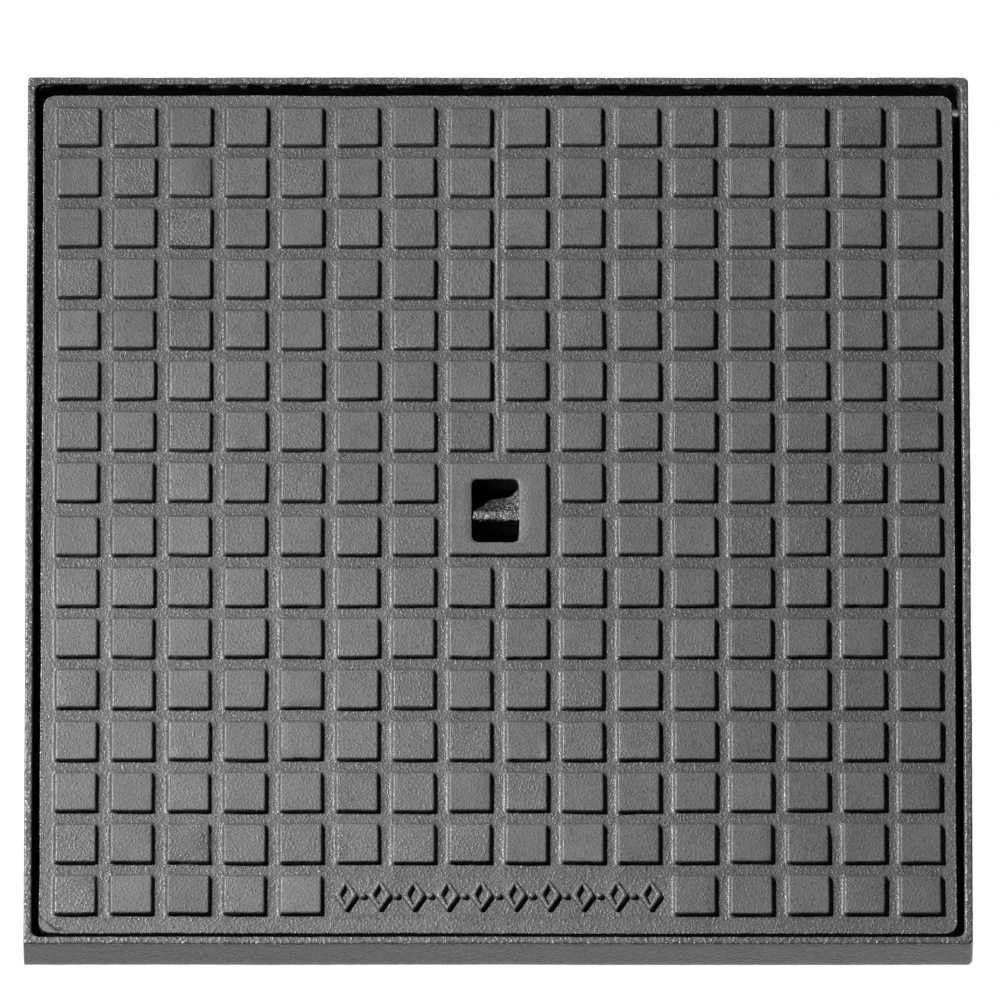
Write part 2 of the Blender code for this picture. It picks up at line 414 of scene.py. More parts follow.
@dataclass(frozen=True)
class Scratch:
    """A short mark in the paint and the skin, as a bent line on one tread."""

    row: int
    column: int
    across: float
    along: float
    radius: float
    from_turn: float
    to_turn: float


@dataclass(frozen=True)
class TreadPattern:
    """The grid of raised squares. Rows count from the front and columns from the left."""

    cover_size: float
    count: int = 16
    border: float = 10.1 * MM
    gap: float = 10.5 * MM
    row_gap: float = 10.2 * MM
    split: float = 1.7 * MM
    shift_y: float = 1.4 * MM
    height: float = 3.5 * MM
    corner: float = 0.7 * MM
    front_steepness: float = 1.8
    left_steepness: float = 1.3
    ornament_treads: int = 6
    wall_places: tuple[float, ...] = (-0.35, 0.05, 0.45, 1.00, 1.45, 2.10, 3.00)
    wall_shares: tuple[float, ...] = (1.0, 0.975, 0.78, 0.36, 0.17, 0.055, 0.0)

    @property
    def size(self) -> float:
        """Width of a tread's top."""
        room = self.cover_size - 2 * self.border - (self.count - 1) * self.gap
        return room / self.count

    @property
    def pitch(self) -> float:
        """Distance from one column to the next."""
        return self.size + self.gap

    @property
    def row_pitch(self) -> float:
        """Distance from one row to the next."""
        return self.size + self.row_gap

    @property
    def middle_half_x(self) -> float:
        """Half the width of the large tread in the middle."""
        return (self.pitch + self.size) / 2

    @property
    def middle_half_y(self) -> float:
        """Half the length of the large tread in the middle."""
        return (self.row_pitch + self.split + self.size) / 2

    def column_middle(self, column: int | np.ndarray) -> float | np.ndarray:
        """Where a column of treads lies."""
        return (column - (self.count - 1) / 2) * self.pitch

    def row_middle(self, row: int | np.ndarray) -> float | np.ndarray:
        """Where a row of treads lies. The gap between the two middle rows is the widest."""
        steps = row - (self.count - 1) / 2
        return self.shift_y + steps * self.row_pitch + np.sign(steps) * self.split / 2

    def nearest(self, x: np.ndarray, y: np.ndarray) -> tuple[np.ndarray, np.ndarray]:
        """Column and row of the tread that each place lies nearest to."""
        half = (self.count - 1) / 2
        from_shift = y - self.shift_y
        along = from_shift - np.sign(from_shift) * self.split / 2
        column = np.clip(np.rint(x / self.pitch + half), 0, self.count - 1).astype(int)
        row = np.clip(np.rint(along / self.row_pitch + half), 0, self.count - 1).astype(int)
        return column, row

    def lines(self, middles: Sequence[float]) -> list[float]:
        """Grid lines that follow the treads' edges, walls and feet.

        Args:
            middles: The middles of the treads along one row or one column.

        Returns:
            The lines, in no order.
        """
        beyond_edge = (-1.0, -0.35, 0.15, 0.62, 1.15, 1.9, 2.9)
        inside = (-0.33, 0.33)
        found = []
        for middle in middles:
            for offset in beyond_edge:
                reach = self.size / 2 + offset * MM
                found += [middle - reach, middle + reach]
            found += [middle + share * self.size / 2 for share in inside]
        return found

    def column_lines(self) -> list[float]:
        """Grid lines across the columns."""
        return self.lines([float(self.column_middle(index)) for index in range(self.count)])

    def row_lines(self) -> list[float]:
        """Grid lines across the rows."""
        return self.lines([float(self.row_middle(index)) for index in range(self.count)])

    def ornament_columns(self) -> range:
        """Columns of the front row that the ornament takes."""
        first = (self.count - self.ornament_treads) // 2
        return range(first, first + self.ornament_treads)


BLEMISHES = (
    Blemish(14, 2, BlemishKind.SMEARED, 0.95, 0.30, 0.55, 1.10, 0.55),
    Blemish(14, 2, BlemishKind.LUMPY, 0.35, -0.95, 0.60, 0.40, 0.60),
    Blemish(14, 13, BlemishKind.SMEARED, 0.70, 0.60, 0.60, 0.60, 0.45),
    Blemish(14, 5, BlemishKind.CRUMBLED, 0.10, -1.00, 0.45, 0.28, 0.60),
    Blemish(1, 2, BlemishKind.CRUMBLED, 1.00, 0.25, 0.42, 0.62, 0.80),
    Blemish(1, 2, BlemishKind.CRUMBLED, -0.15, -0.95, 0.40, 0.22, 0.50),
    Blemish(1, 2, BlemishKind.SMEARED, -0.20, 0.95, 0.50, 0.30, 0.35),
    Blemish(1, 5, BlemishKind.LUMPY, -0.90, 0.00, 0.55, 0.90, 1.00),
    Blemish(1, 13, BlemishKind.SMEARED, 0.95, 0.90, 0.75, 0.60, 0.60),
    Blemish(0, 0, BlemishKind.CRUMBLED, 1.00, 0.75, 0.30, 0.35, 0.55),
    Blemish(8, 14, BlemishKind.CRUMBLED, -0.40, 0.95, 0.35, 0.30, 0.45),
    Blemish(13, 0, BlemishKind.LUMPY, 0.80, -1.00, 0.45, 0.35, 0.60),
    Blemish(11, 6, BlemishKind.CRUMBLED, -0.90, -0.95, 0.35, 0.30, 0.50),
    Blemish(5, 11, BlemishKind.LUMPY, 0.40, -1.00, 0.60, 0.30, 0.50),
    Blemish(3, 8, BlemishKind.CRUMBLED, 0.70, -1.00, 0.35, 0.25, 0.45),
)

ROUGH_TREADS = ((15, 0), (15, 1), (14, 1), (1, 0), (0, 0), (13, 2), (8, 14), (1, 7))

SCRATCHES = (
    Scratch(15, 15, 0.10, -1.05, 0.35, 0.05, 0.60),
    Scratch(14, 15, 0.15, 0.85, 0.30, 0.50, 1.00),
    Scratch(8, 14, 0.30, 0.30, 0.40, 0.10, 0.40),
)


@dataclass(frozen=True)
class TreadMarks:
    """How strongly the treads' walls and the grooves are roughened, and how strongly they carry painted shade
    and painted glints.
    """

    ragged: float = 0.32 * MM
    ragged_length: float = 5.5 * MM
    wall_rough: float = 1.3
    left_rough_and_glints_least: float = 0.25
    left_rough_and_glints_more: float = 0.90
    right_rough: float = -0.3
    foot_rough_and_glints: float = 0.8
    floor_smooth: float = 0.30
    lee_painted_shade: float = 3.0
    left_wall_painted_shade: float = 1.7
    floor_painted_shade: float = 0.55
    row_floor_painted_shade: float = 0.75
    corner_rough_and_glints: float = 2.6
    corner_painted_glint: float = 2.2
    middle_tone: float = 0.5


@dataclass
class CoverCasting:
    """The cover: plate, treads, skirt, ribs, keyhole and the collar round it."""

    low: Vector
    high: Vector
    pattern: TreadPattern
    marks: TreadMarks = TreadMarks()
    corner: float = 7.5 * MM
    edge_rounding: float = 0.6 * MM
    draft: float = 1.5 * MM
    plate: float = 6.0 * MM
    skirt: float = 8.0 * MM
    rib_spacing: float = 145.0 * MM
    rib_tip: float = 2.2 * MM
    rib_root: float = 3.2 * MM
    rib_fillet: float = 2.0 * MM
    rib_rise: float = 6.0 * MM
    rib_rise_length: float = 90.0 * MM
    key_half_x: float = 15.25 * MM
    key_half_y: float = 22.0 * MM
    key_radius: float = 4.2 * MM
    key_shift: float = -1.6 * MM
    key_draft: float = 1.2 * MM
    collar_wall: float = 5.0 * MM
    collar_gap: float = 3.0 * MM
    wall_tone: float = -0.3
    key_painted_shade: float = -2.6
    noise: SmoothNoise = field(default_factory=lambda: SmoothNoise(11))
    drift: SmoothNoise = field(default_factory=lambda: SmoothNoise(12))

    def __post_init__(self) -> None:
        """Work out the levels and draw each tread's own small errors."""
        self.half = (self.high.x - self.low.x) / 2
        self.origin = Vector(((self.low.x + self.high.x) / 2, (self.low.y + self.high.y) / 2, 0))
        self.tread_top = self.high.z
        self.plate_top = self.high.z - self.pattern.height
        self.plate_under = self.plate_top - self.plate
        self.foot = self.low.z
        draw = np.random.default_rng(5)
        shape = (self.pattern.count, self.pattern.count)
        self.off_x = draw.normal(0, 0.10 * MM, shape)
        self.off_y = draw.normal(0, 0.12 * MM, shape)
        self.off_half = draw.normal(0, 0.09 * MM, shape)
        self.off_height = draw.normal(0, 0.07 * MM, shape)
        self.tilt_x = draw.normal(0, 0.004, shape)
        self.tilt_y = draw.normal(0, 0.004, shape)
        self.tread_tone = draw.normal(0, 0.5, shape)
        self.tread_smooth = np.clip(draw.normal(0.80, 0.16, shape), 0.3, 1.0)
        for row, column in ROUGH_TREADS:
            self.tread_smooth[row, column] = 0.25

    @property
    def keyhole(self) -> RoundedRectangle:
        """Outline of the keyhole in the tread's top."""
        return RoundedRectangle(self.key_half_x, self.key_half_y, self.key_radius, self.key_shift)

    def top_sheet(self) -> GridSheet:
        """The grid of the cover's upper side."""
        key = self.keyhole
        edge = self.half - 0.12 * MM
        inward = (0.0, 0.4, 1.0, 1.7, 2.4, 3.2, 4.0, 4.8, 5.6, 6.5, 7.4)
        border = [side * (edge - step * MM) for side in (-1, 1) for step in inward]
        seam = [place * MM for place in (-1.5, -0.7, 0.0, 0.7, 1.5)]
        beside_key = (0.6 * MM,)
        x_lines = merge_lines(
            hole_lines(key.centre_x, key.half_x, key.radius, beside_key) + border + seam,
            self.pattern.column_lines(), 0.4 * MM,
        )
        y_lines = merge_lines(
            hole_lines(key.centre_y, key.half_y, key.radius, beside_key) + border,
            self.pattern.row_lines(), 0.4 * MM,
        )
        return GridSheet(x_lines, y_lines, RoundedRectangle(edge, edge, self.corner), key)

    def tread_relief(
        self, x: np.ndarray, y: np.ndarray
    ) -> tuple[np.ndarray, np.ndarray, np.ndarray]:
        """Height, smoothness and tone of the treads.

        Args:
            x: Places along X from the cover's middle.
            y: Places along Y.

        Returns:
            Height above the plate, then the two marks.
        """
        pattern, marks = self.pattern, self.marks
        last = pattern.count - 1
        column, row = pattern.nearest(x, y)
        from_x = x - pattern.column_middle(column) - self.off_x[row, column]
        from_y = y - pattern.row_middle(row) - self.off_y[row, column]
        half = pattern.size / 2 + self.off_half[row, column]
        pair = (last // 2, last // 2 + 1)
        middle = np.isin(row, pair) & np.isin(column, pair)
        from_x = np.where(middle, x, from_x)
        from_y = np.where(middle, y - pattern.shift_y, from_y)
        half_x = np.where(middle, pattern.middle_half_x, half)
        half_y = np.where(middle, pattern.middle_half_y, half)
        over_x = np.abs(from_x) - half_x + pattern.corner
        over_y = np.abs(from_y) - half_y + pattern.corner
        beyond = np.hypot(np.maximum(over_x, 0), np.maximum(over_y, 0))
        beyond = beyond + np.minimum(np.maximum(over_x, over_y), 0) - pattern.corner
        bare = (row == 0) & np.isin(column, list(pattern.ornament_columns()))
        beyond = np.where(bare, pattern.pitch, beyond)
        ragged = marks.ragged * self.noise.layered(x, y * 0 + row * MM, marks.ragged_length)
        at_front = (over_y >= over_x) & (from_y < 0)
        beyond = beyond + ragged * at_front * (beyond > -0.5 * MM)
        at_right = (over_x > over_y) & (from_x > 0)
        at_left = (over_x > over_y) & (from_x < 0)
        steep = np.where(at_front & (beyond > 0), pattern.front_steepness, 1.0)
        steep = np.where(at_left & (beyond > 0), pattern.left_steepness, steep)
        share = np.interp(beyond * steep / MM, pattern.wall_places, pattern.wall_shares)
        lean = self.tilt_x[row, column] * from_x + self.tilt_y[row, column] * from_y
        lean = np.where(middle, 0.0, lean + self.off_height[row, column])
        height = share * (pattern.height + lean)
        on_top = smooth_step((share - 0.72) / 0.25)
        smooth = on_top * np.where(middle, 1.0, self.tread_smooth[row, column])
        wall = tent(beyond, 1.3 * MM, 2.2 * MM)
        to_right = smooth_step((x + 0.9 * self.half) / (1.5 * self.half))
        # Left walls are made rougher towards the right-hand columns, where the lamp falls lower, and so
        # gather more bright grains that stand in for glints: partly rough skin, partly painted highlight.
        # Right walls, which lie in shade, get fewer.
        rough_and_glints = np.where(at_left, marks.left_rough_and_glints_least + marks.left_rough_and_glints_more * to_right, 1.0)
        rough_and_glints = np.where(at_right, marks.right_rough, rough_and_glints)
        # The foot of each front wall is roughened: rough skin, and bright grains there that stand in for
        # glints, a painted highlight.
        foot = at_front * tent(beyond, 1.9 * MM, 0.9 * MM)
        far_floor = (1 - on_top) * smooth_step((beyond - 2.2 * MM) / (1.0 * MM))
        smooth = smooth - marks.wall_rough * rough_and_glints * wall * (1 - on_top)
        smooth = smooth - marks.foot_rough_and_glints * foot + marks.floor_smooth * far_floor
        tone = on_top * np.where(middle, marks.middle_tone, self.tread_tone[row, column])
        # The treads' front and right walls, and the groove floor just past them, are painted near black:
        # painted shade where the treads cast their shadow.
        lee_shade = at_front * tent(beyond, 0.85 * MM, 0.75 * MM)
        lee_shade = lee_shade + at_right * tent(beyond, 1.1 * MM, 1.2 * MM)
        tone = tone - marks.lee_painted_shade * lee_shade
        # Left walls are painted darker towards the left-hand columns: painted shade.
        tone = tone - marks.left_wall_painted_shade * at_left * wall * (1 - on_top) * (1 - to_right)
        # Groove floors are painted darker, and more so in the grooves between rows: painted shade in the
        # recesses.
        along_row = 1 - smooth_step((np.maximum(over_x, 0) - np.maximum(over_y, 0)) / MM + 0.5)
        groove_shade = marks.floor_painted_shade + marks.row_floor_painted_shade * along_row
        tone = tone - groove_shade * (1 - smooth_step(share / 0.6))
        # Just off each tread's front left corner the paint is made lighter and the skin rougher, so that
        # bright grains gather there: a painted glint.
        from_corner = np.hypot(from_x + half_x + 0.9 * MM, from_y + half_y + 0.7 * MM)
        corner_glints = np.clip(1 - from_corner / (2.4 * MM), 0, 1) * (1 - bare) * (1 - on_top)
        smooth = smooth - marks.corner_rough_and_glints * corner_glints
        tone = tone + marks.corner_painted_glint * corner_glints
        for blemish in BLEMISHES:
            height, smooth, tone = self.spoil(blemish, x, y, height, smooth, tone)
        return height, smooth, tone

    def spoil(
        self,
        blemish: Blemish,
        x: np.ndarray,
        y: np.ndarray,
        height: np.ndarray,
        smooth: np.ndarray,
        tone: np.ndarray,
    ) -> tuple[np.ndarray, np.ndarray, np.ndarray]:
        """Apply one blemish to the relief.

        Args:
            blemish: The spoiled place.
            x: Places along X from the cover's middle.
            y: Places along Y.
            height: Relief so far.
            smooth: Smoothness so far.
            tone: Tone so far.

        Returns:
            The three with the blemish in them.
        """
        unit = self.pattern.size / 2
        from_x = (x - self.pattern.column_middle(blemish.column)) / unit - blemish.across
        from_y = (y - self.pattern.row_middle(blemish.row)) / unit - blemish.along
        ragged = 0.30 * self.noise.layered(x, y, 5 * MM)
        inside = smooth_step(1.35 - np.hypot(from_x / blemish.reach_x, from_y / blemish.reach_y) - ragged)
        rough = self.noise.layered(x + 0.5, y, 2.6 * MM)
        if blemish.kind is BlemishKind.CRUMBLED:
            lost = blemish.depth * inside * (0.75 + 0.45 * rough)
            return height * (1 - np.clip(lost, 0, 1)), smooth * (1 - inside), tone - 0.6 * inside
        if blemish.kind is BlemishKind.SMEARED:
            lost = blemish.depth * inside * (0.8 + 0.2 * rough)
            return height * (1 - lost), np.maximum(smooth, 0.8 * inside), tone + 0.3 * inside
        lump = blemish.depth * MM * inside * rough
        return height + lump, smooth * (1 - inside), tone

    def seam(self, x: np.ndarray, y: np.ndarray) -> np.ndarray:
        """Height of the mould seam, which runs down the middle groove from the back."""
        wander = 0.5 * MM * self.drift.at(y, y * 0 + 0.4, 35 * MM)
        ridge = tent(x, wander, 1.3 * MM)
        start = self.pattern.shift_y + self.pattern.middle_half_y + 2 * MM
        broken = smooth_step(0.8 + 0.9 * self.noise.at(y, y * 0, 9 * MM))
        return 0.45 * MM * ridge * broken * (y > start)

    def worn_lip(self, x: np.ndarray, y: np.ndarray) -> tuple[np.ndarray, np.ndarray]:
        """The lip that was left standing at the front left corner.

        Args:
            x: Places along X from the cover's middle.
            y: Places along Y.

        Returns:
            How far the lip stands up, and how much of it there is, from 0 to 1.
        """
        from_left = (x + self.half) / (13.5 * MM)
        from_front = (y + self.half) / (12.0 * MM)
        lip = smooth_step((1.0 - from_left - from_front) / 0.10)
        crack = tent(from_left + from_front, 1.06, 0.12)
        return lip * 0.8 * MM - crack * 0.9 * MM, lip - crack

    def wavered(self, x: np.ndarray, y: np.ndarray) -> tuple[np.ndarray, np.ndarray]:
        """Places moved a little, so that no edge of the casting runs dead straight."""
        move_x = 0.16 * self.drift.at(x, y, 5.5 * MM) + 0.30 * self.drift.at(x, y, 47 * MM)
        move_y = 0.18 * self.noise.at(x, y, 6.5 * MM) + 0.34 * self.noise.at(x, y, 53 * MM)
        return x + move_x * MM, y + move_y * MM

    def add_top(self, skin: CastSkin) -> tuple[GridSheet, np.ndarray]:
        """Add the upper side, with its treads.

        Args:
            skin: The casting's skin.

        Returns:
            The sheet, and the numbers of its points.
        """
        sheet = self.top_sheet()
        x, y = sheet.places()
        height, smooth, tone = self.tread_relief(x, y)
        floor = 1 - smooth_step(height / self.pattern.height / 0.6)
        height = height + 0.10 * MM * floor * self.noise.layered(x, y, 4.2 * MM)
        height = height + 0.035 * MM * (1 - floor) * self.drift.layered(x, y, 9 * MM)
        height = height + self.seam(x, y)
        for scratch in SCRATCHES:
            height = height - self.scratch_depth(scratch, x, y)
        up, lip = self.worn_lip(x, y)
        height = height + up
        smooth = np.maximum(smooth, 0.9 * lip)
        # The worn lip's paint is made much lighter, partly wear and partly a painted highlight on its face;
        # the crack behind it is painted darker, a painted shade.
        tone = tone + np.where(lip > 0, 4.0, 3.4) * lip
        inset = self.half - np.maximum(np.abs(x), np.abs(y))
        border = smooth_step((self.pattern.border - inset) / (2 * MM))
        smooth = np.maximum(smooth, 0.45 * border)
        # The plain border's floor is painted lighter, which takes back some of the painted groove shade
        # there.
        tone = tone + 0.9 * border * floor
        # A rough strip along the cover's edge, which also gathers bright grains there: partly rough skin,
        # partly painted glints.
        smooth = smooth - 1.2 * (inset < 0.9 * MM)
        height = height - 0.25 * MM * (inset < 0.2 * MM)
        x, y = sheet.round_off(x, y)
        on_key = sheet.on_hole_edge()
        height = np.where(on_key, height - 0.2 * MM, height)
        x, y = self.wavered(x, y)
        points = np.stack([x, y, self.plate_top + height], axis=-1).reshape(-1, 3)
        numbers = skin.add(points, smooth.ravel(), tone.ravel()).reshape(x.shape)
        sheet.add_faces(skin, numbers)
        return sheet, numbers

    def scratch_depth(self, scratch: Scratch, x: np.ndarray, y: np.ndarray) -> np.ndarray:
        """How deep a bent scratch cuts at each place."""
        unit = self.pattern.size / 2
        from_x = (x - self.pattern.column_middle(scratch.column)) / unit - scratch.across
        from_y = (y - self.pattern.row_middle(scratch.row)) / unit - scratch.along
        turn = np.arctan2(from_y, from_x) / math.tau % 1.0
        along = (turn > scratch.from_turn) & (turn < scratch.to_turn)
        near = tent(np.hypot(from_x, from_y), scratch.radius, 0.09)
        return 0.5 * MM * near * along

    def rib_depth(self, across: np.ndarray, x: np.ndarray, y: np.ndarray) -> np.ndarray:
        """Depth below the plate of the ribs that run one way.

        Args:
            across: Places measured across those ribs.
            x: Places along X from the cover's middle.
            y: Places along Y.

        Returns:
            Depth, from 0 between the ribs to the full height of a rib at its tip.
        """
        lines = np.array([-self.rib_spacing, 0.0, self.rib_spacing])
        away = np.abs(across[..., None] - lines).min(axis=-1)
        inward = self.half - self.skirt - np.maximum(np.abs(x), np.abs(y))
        rise = self.rib_rise * np.clip(1 - inward / self.rib_rise_length, 0, 1)
        full = self.plate_under - self.foot - rise
        key = self.keyhole.grown(self.collar_wall)
        near_x = np.abs(x - key.centre_x) - key.half_x
        near_y = np.abs(y - key.centre_y) - key.half_y
        near_key = smooth_step(1.2 - np.maximum(near_x, near_y) / (9 * MM))
        full = full - self.collar_gap * near_key
        flank = (away - self.rib_tip) / (self.rib_root - self.rib_tip)
        share = 1 - 0.86 * smooth_ramp(flank, 0.2)
        fillet = 0.14 * np.clip(1 - (away - self.rib_root) / self.rib_fillet, 0, 1) ** 2
        share = np.where(away > self.rib_root, fillet, np.clip(share, 0.14, 1))
        return full * share

    def under_sheet(self) -> GridSheet:
        """The grid of the cover's underside."""
        key = self.keyhole.grown(self.collar_wall + self.rib_fillet)
        edge = self.half - self.draft - self.edge_rounding
        beside_rib = (0.0, 1.5, 2.2, 2.6, 3.2, 4.0, 5.2)
        ribs = [
            line + side * offset * MM
            for line in (-self.rib_spacing, 0.0, self.rib_spacing)
            for side in (-1, 1) for offset in beside_rib
        ]
        skirt_steps = (0.0, 2.4, 4.9, 5.9, 6.4, 7.6, 9.2)
        skirt = [side * (edge - step * MM) for side in (-1, 1) for step in skirt_steps]
        fill = np.linspace(-edge + 16 * MM, edge - 16 * MM, 31).tolist()
        x_lines, y_lines = (
            merge_lines(hole_lines(middle, half, key.radius) + skirt, ribs + fill, 0.35 * MM)
            for middle, half in ((key.centre_x, key.half_x), (key.centre_y, key.half_y))
        )
        return GridSheet(x_lines, y_lines, RoundedRectangle(edge, edge, self.corner), key)

    def add_underside(self, skin: CastSkin) -> tuple[GridSheet, np.ndarray]:
        """Add the underside, with its skirt and ribs.

        Args:
            skin: The casting's skin.

        Returns:
            The sheet, and the numbers of its points.
        """
        sheet = self.under_sheet()
        x, y = sheet.places()
        depth = np.maximum(self.rib_depth(x, x, y), self.rib_depth(y, x, y))
        inset = self.half - self.draft - np.maximum(np.abs(x), np.abs(y))
        skirt_wall = self.skirt - self.draft
        into = smooth_step(1 - (inset - skirt_wall) / (2.6 * MM))
        depth = np.maximum(depth, (self.plate_under - self.foot) * into)
        depth = depth + 0.18 * MM * self.noise.layered(x, y, 14 * MM) * (into < 0.5)
        x, y = sheet.round_off(x, y)
        points = np.stack([x, y, self.plate_under - depth], axis=-1).reshape(-1, 3)
        numbers = skin.add(points, 0.15, -0.4).reshape(x.shape)
        sheet.add_faces(skin, numbers)
        return sheet, numbers

    def add_rings(
        self,
        skin: CastSkin,
        start: np.ndarray,
        outline: RoundedRectangle,
        steps: Sequence[tuple[float, float]],
        roughness: float,
        tone: float,
    ) -> np.ndarray:
        """Carry a ring of points down a wall.

        Args:
            skin: The casting's skin.
            start: Numbers of the ring that the wall starts from.
            outline: The outline that gives the way out at each point.
            steps: How far out, and at what level, each further ring lies.
            roughness: How far the wall's skin wavers, in metres.
            tone: How light or dark the paint is, below the first ring and inside the outline. Down the
                keyhole it is painted shade.

        Returns:
            Numbers of the last ring.
        """
        base = np.concatenate(skin.points)[start]
        out_x, out_y = outline.outward(base[:, 0], base[:, 1])
        around = np.arange(len(start)) * 1.3 * MM
        ring = start
        for outwards, level in steps:
            waver = roughness * self.noise.layered(around, around * 0 + level, 3.6 * MM)
            move = outwards + waver
            points = np.stack(
                [base[:, 0] + out_x * move, base[:, 1] + out_y * move, np.full(len(start), level)],
                axis=-1,
            )
            bare = ring is start or outwards > 0
            added = skin.add(points, 0.1, self.wall_tone if bare else tone)
            skin.join_rings(added, ring)
            ring = added
        return ring

    def build(self) -> bpy.types.Object:
        """Build the casting and return its object."""
        skin = CastSkin()
        top, top_numbers = self.add_top(skin)
        under, under_numbers = self.add_underside(skin)
        levels = np.linspace(self.plate_top - 2.5 * MM, self.foot + 1.5 * MM, 5)
        fall = self.draft / (self.plate_top - self.foot)
        side = [(0.12 * MM, self.plate_top - self.edge_rounding)]
        side += [(0.12 * MM - fall * (self.plate_top - level), float(level)) for level in levels]
        side += [(0.12 * MM - self.draft, self.foot + 0.4 * MM)]
        rim = self.add_rings(
            skin, top.ring(top_numbers, *top.rim_span()), top.rim, side, 0.12 * MM, self.wall_tone
        )
        skin.join_unequal_rings(
            rim, top.ring_places(*top.rim_span()),
            under.ring(under_numbers, *under.rim_span()), under.ring_places(*under.rim_span()),
        )
        collar_foot = self.foot + self.collar_gap
        levels = np.linspace(self.tread_top - 1.6 * MM, collar_foot + 1.2 * MM, 12)
        fall = self.key_draft / (self.tread_top - collar_foot)
        wall = [(-0.15 * MM, self.tread_top - 0.55 * MM)]
        wall += [(-0.2 * MM - fall * (self.tread_top - level), float(level)) for level in levels]
        wall += [
            (-self.key_draft, collar_foot + 0.3 * MM),
            (0.2 * MM, collar_foot),
            (self.collar_wall - 0.8 * MM, collar_foot),
            (self.collar_wall, collar_foot + 0.8 * MM),
            (self.collar_wall, self.plate_under - 3.0 * MM),
            (self.collar_wall + 0.6 * MM, self.plate_under - 0.9 * MM),
        ]
        # The keyhole's wall is painted near black below its top edge: painted shade down the hole.
        collar = self.add_rings(
            skin, top.ring(top_numbers, *top.hole_span()), self.keyhole, wall, 0.28 * MM,
            self.key_painted_shade,
        )
        skin.join_unequal_rings(
            collar, top.ring_places(*top.hole_span()),
            under.ring(under_numbers, *under.hole_span()), under.ring_places(*under.hole_span()),
        )
        return skin.to_object("cover_casting", self.origin)


@dataclass
class KeyholeBridge:
    """The bar cast across the keyhole, upright at its front and ramped at its back."""

    cover: CoverCasting
    shift: float = -3.2 * MM
    top_width: float = 6.0 * MM
    drop: float = 1.6 * MM
    depth: float = 24.5 * MM
    ramp: float = 19.5 * MM
    nose: float = 2.0 * MM
    embed: float = 2.5 * MM
    spacing: float = 0.55 * MM
    rounding: int = 9
    roughness: float = 0.62 * MM
    flare_reach: float = 9.0 * MM
    flare_rise: float = 12.0 * MM
    flare_out: float = 8.0 * MM
    ramp_rough: float = -1.9
    bar_rough: float = -0.4
    ramp_painted_shade: float = -2.2
    ramp_painted_shade_left: float = 1.2
    bar_painted_light: float = 0.4

    def section(self) -> np.ndarray:
        """Points round the bar's section, evenly spaced, with its corners worn round."""
        half = self.top_width / 2
        corners = np.array([
            (-half, -self.depth),
            (-half, 0.0),
            (half, 0.0),
            (half + self.ramp, -self.ramp),
            (half + self.ramp, -self.ramp - self.nose),
            (half, -self.depth),
        ])
        closed = np.vstack([corners, corners[:1]])
        lengths = np.hypot(*np.diff(closed, axis=0).T)
        marks = np.concatenate([[0.0], np.cumsum(lengths)])
        places = np.linspace(0, marks[-1], int(marks[-1] / self.spacing), endpoint=False)
        points = np.stack([np.interp(places, marks, closed[:, axis]) for axis in (0, 1)], axis=1)
        for _ in range(self.rounding):
            points = (np.roll(points, 1, axis=0) + 2 * points + np.roll(points, -1, axis=0)) / 4
        return points

    def build(self) -> bpy.types.Object:
        """Build the bar and return its object."""
        section = self.section()
        along = np.roll(section, -1, axis=0) - np.roll(section, 1, axis=0)
        outward = np.stack([-along[:, 1], along[:, 0]], axis=1)
        outward /= np.hypot(*outward.T)[:, None]
        reach = self.cover.key_half_x + self.embed
        steps = np.linspace(-reach, reach, int(2 * reach / self.spacing))
        noise = SmoothNoise(21)
        around = np.arange(len(section)) * self.spacing
        on_ramp = (section[:, 0] > self.top_width / 2) & (outward[:, 0] > 0.2)
        top = self.cover.tread_top - self.drop
        skin = CastSkin()
        rings = []
        for step in steps:
            place = np.full(len(section), step)
            waver = self.roughness * noise.layered(place, around, 2.4 * MM)
            reach_in = self.flare_reach if step > 0 else 0.3 * self.flare_reach
            to_wall = max(0.0, 1 - (self.cover.key_half_x - abs(step)) / reach_in)
            spread = to_wall**2 * on_ramp * np.clip(-section[:, 1] / self.ramp, 0.1, 1)
            spread = spread * (1.0 if step > 0 else 0.25)
            moved = section + outward * waver[:, None]
            moved = moved + spread[:, None] * np.array([self.flare_out, self.flare_rise])
            moved[:, 1] = np.minimum(moved[:, 1], self.drop - 0.6 * MM)
            x = place + self.cover.key_shift
            ring = np.stack([x, moved[:, 0] + self.shift, moved[:, 1] + top], axis=1)
            # The ramp behind the bar is painted near black, darker towards the left where the keyhole's edge
            # shades it: painted shade. Its rough skin also brings out bright grains as painted glints. The
            # bar's top is painted a little lighter: painted light where the lamp falls on it.
            shaded = self.ramp_painted_shade - self.ramp_painted_shade_left * (1 - step / reach) / 2
            smooth = np.where(on_ramp, self.ramp_rough, self.bar_rough)
            rings.append(skin.add(ring, smooth, np.where(on_ramp, shaded, self.bar_painted_light)))
        skin.join_all(rings)
        for ring, level in ((rings[0], steps[0]), (rings[-1], steps[-1])):
            centre = np.array([[level + self.cover.key_shift, self.shift, top - self.depth / 2]])
            hub = int(skin.add(centre, 0.0, 0.0)[0])
            following = np.roll(ring, -1)
            skin.faces.extend((int(a), int(b), hub) for a, b in zip(ring, following))
        return skin.to_object("keyhole_bridge", self.cover.origin)


